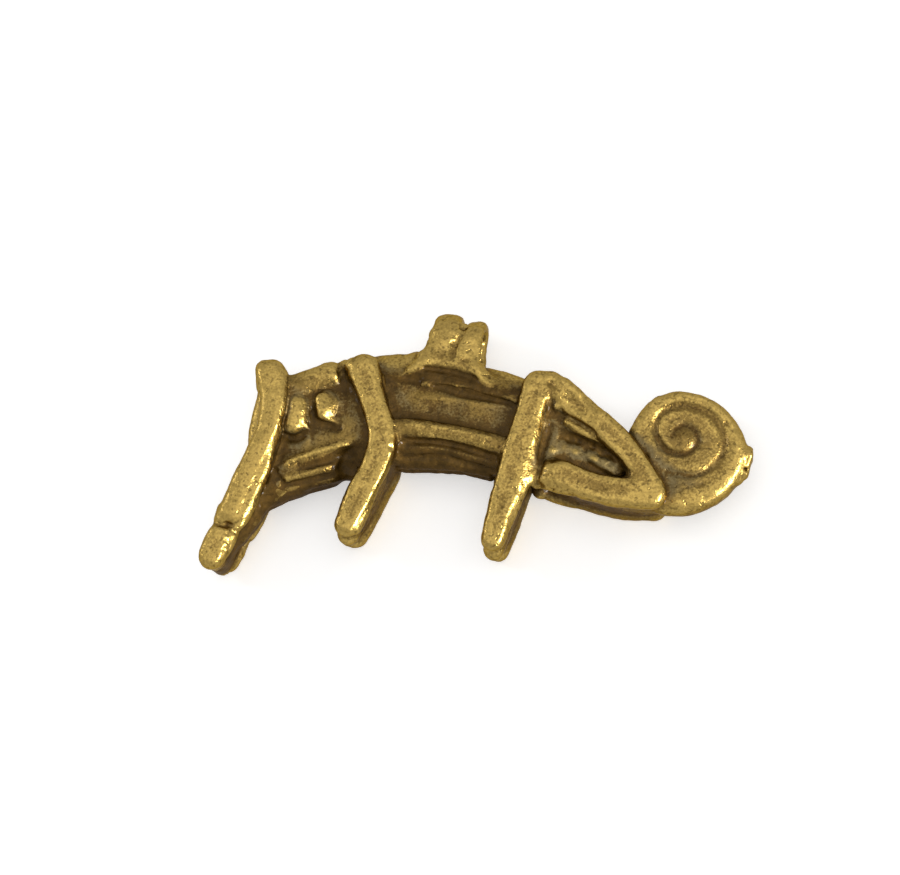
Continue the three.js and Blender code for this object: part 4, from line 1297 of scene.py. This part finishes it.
def area_lamp(name, direction, distance, width, watts, lights_all):
    """A soft square lamp that faces the pendant from a direction."""
    lamp = bpy.data.lights.new(name, "AREA")
    lamp.shape = "SQUARE"
    lamp.size = width
    lamp.energy = watts
    holder = bpy.data.objects.new(name, lamp)
    direction = Vector(direction).normalized()
    holder.location = LOOK_AT + direction * distance
    holder.rotation_mode = "QUATERNION"
    holder.rotation_quaternion = (-direction).to_track_quat("-Z", "Y")
    holder.visible_diffuse = lights_all
    bpy.context.scene.collection.objects.link(holder)


def looked_at(shader):
    """1 for what the camera sees, by itself or in the metal, and 0 for what only gets light."""
    rays = ("Is Camera Ray", "Is Glossy Ray", "Is Transmission Ray")
    return sum(shader.node("ShaderNodeLightPath", out=ray) for ray in rays)


def table_top(colour):
    """A wide plain table that shows white where it is lit and keeps the pendant's shadow."""
    mesh = bpy.data.meshes.new("table")
    sides = ((-1, -1), (1, -1), (1, 1), (-1, 1))
    mesh.from_pydata([(x * TABLE_HALF, y * TABLE_HALF, 0) for x, y in sides], [], [(0, 1, 2, 3)])
    table = bpy.data.objects.new("table", mesh)
    table.location.z = TABLE_HEIGHT
    bpy.context.scene.collection.objects.link(table)
    material = bpy.data.materials.new("table_white")
    shader = Shader(material)
    plain = shader.node("ShaderNodeBsdfDiffuse", sockets={"Color": (*colour, 1.0)})
    glow = shader.node("ShaderNodeEmission", sockets={"Color": WHITE, "Strength": TABLE_GLOW})
    both = shader.node("ShaderNodeAddShader", sockets={0: plain, 1: glow})
    seen = shader.node("ShaderNodeMixShader", sockets={0: looked_at(shader), 1: plain, 2: both})
    shader.node("ShaderNodeOutputMaterial", sockets={"Surface": seen})
    mesh.materials.append(material)


class AMULET_OT_stage(bpy.types.Operator):
    """Sets the table, the lamps, the sky and the camera"""

    bl_idname = "amulet.stage"
    bl_label = "Stage"

    def execute(self, context):
        settings = context.scene.amulet_stage
        table_top(settings.table)
        for name, lamp in LAMPS.items():
            area_lamp(name, *lamp)
        self.sky(context.scene)
        self.camera(context.scene, settings)
        context.scene.view_settings.view_transform = "Standard"
        return {"FINISHED"}

    def sky(self, scene):
        """White where the camera sees it, and soft light elsewhere."""
        scene.world = bpy.data.worlds.new("sky")
        shader = Shader(scene.world)
        strength = looked_at(shader) * (1 - SKY_LIGHT) + SKY_LIGHT
        back = shader.node("ShaderNodeBackground", sockets={"Color": WHITE, "Strength": strength})
        shader.node("ShaderNodeOutputWorld", sockets={"Surface": back})

    def camera(self, scene, settings):
        """A camera almost overhead, which leans a little to the feet and to the tail."""
        data = bpy.data.cameras.new("camera")
        data.lens = settings.focal_length
        data.sensor_width = 36.0
        data.clip_start = 0.01
        camera = bpy.data.objects.new("camera", data)
        eye, right, up = camera_axes(settings)
        turn = Matrix((right, up, right.cross(up))).transposed().to_4x4()
        camera.matrix_world = Matrix.Translation(eye) @ turn
        scene.collection.objects.link(camera)
        scene.camera = camera


CASTERS = (
    AMULET_OT_cores,
    AMULET_OT_crest,
    AMULET_OT_eyes,
    AMULET_OT_mouth,
    AMULET_OT_legs,
    AMULET_OT_foot_webs,
    AMULET_OT_haunches,
    AMULET_OT_flank_threads,
    AMULET_OT_saddles,
    AMULET_OT_cord_eye,
    AMULET_OT_tail,
)


class AMULET_PT_panel(bpy.types.Panel):
    """Lists the steps that build the amulet"""

    bl_label = "Amulet"
    bl_idname = "AMULET_PT_panel"
    bl_space_type = "VIEW_3D"
    bl_region_type = "UI"
    bl_category = "Amulet"

    def draw(self, context):
        for operator in (*CASTERS, AMULET_OT_stage):
            self.layout.operator(operator.bl_idname)


SETTINGS = {
    "amulet_casting": AmuletCasting,
    "amulet_finish": AmuletFinish,
    "amulet_stage": AmuletStage,
}
CLASSES = (*SETTINGS.values(), *CASTERS, AMULET_OT_stage, AMULET_PT_panel)


def register():
    for each in CLASSES:
        bpy.utils.register_class(each)
    for name, group in SETTINGS.items():
        setattr(bpy.types.Scene, name, PointerProperty(type=group))


def unregister():
    for name in SETTINGS:
        delattr(bpy.types.Scene, name)
    for each in reversed(CLASSES):
        bpy.utils.unregister_class(each)


def main():
    register()
    for operator in (*CASTERS, AMULET_OT_stage):
        section, name = operator.bl_idname.split(".")
        getattr(getattr(bpy.ops, section), name)()


if __name__ == "__main__":
    main()
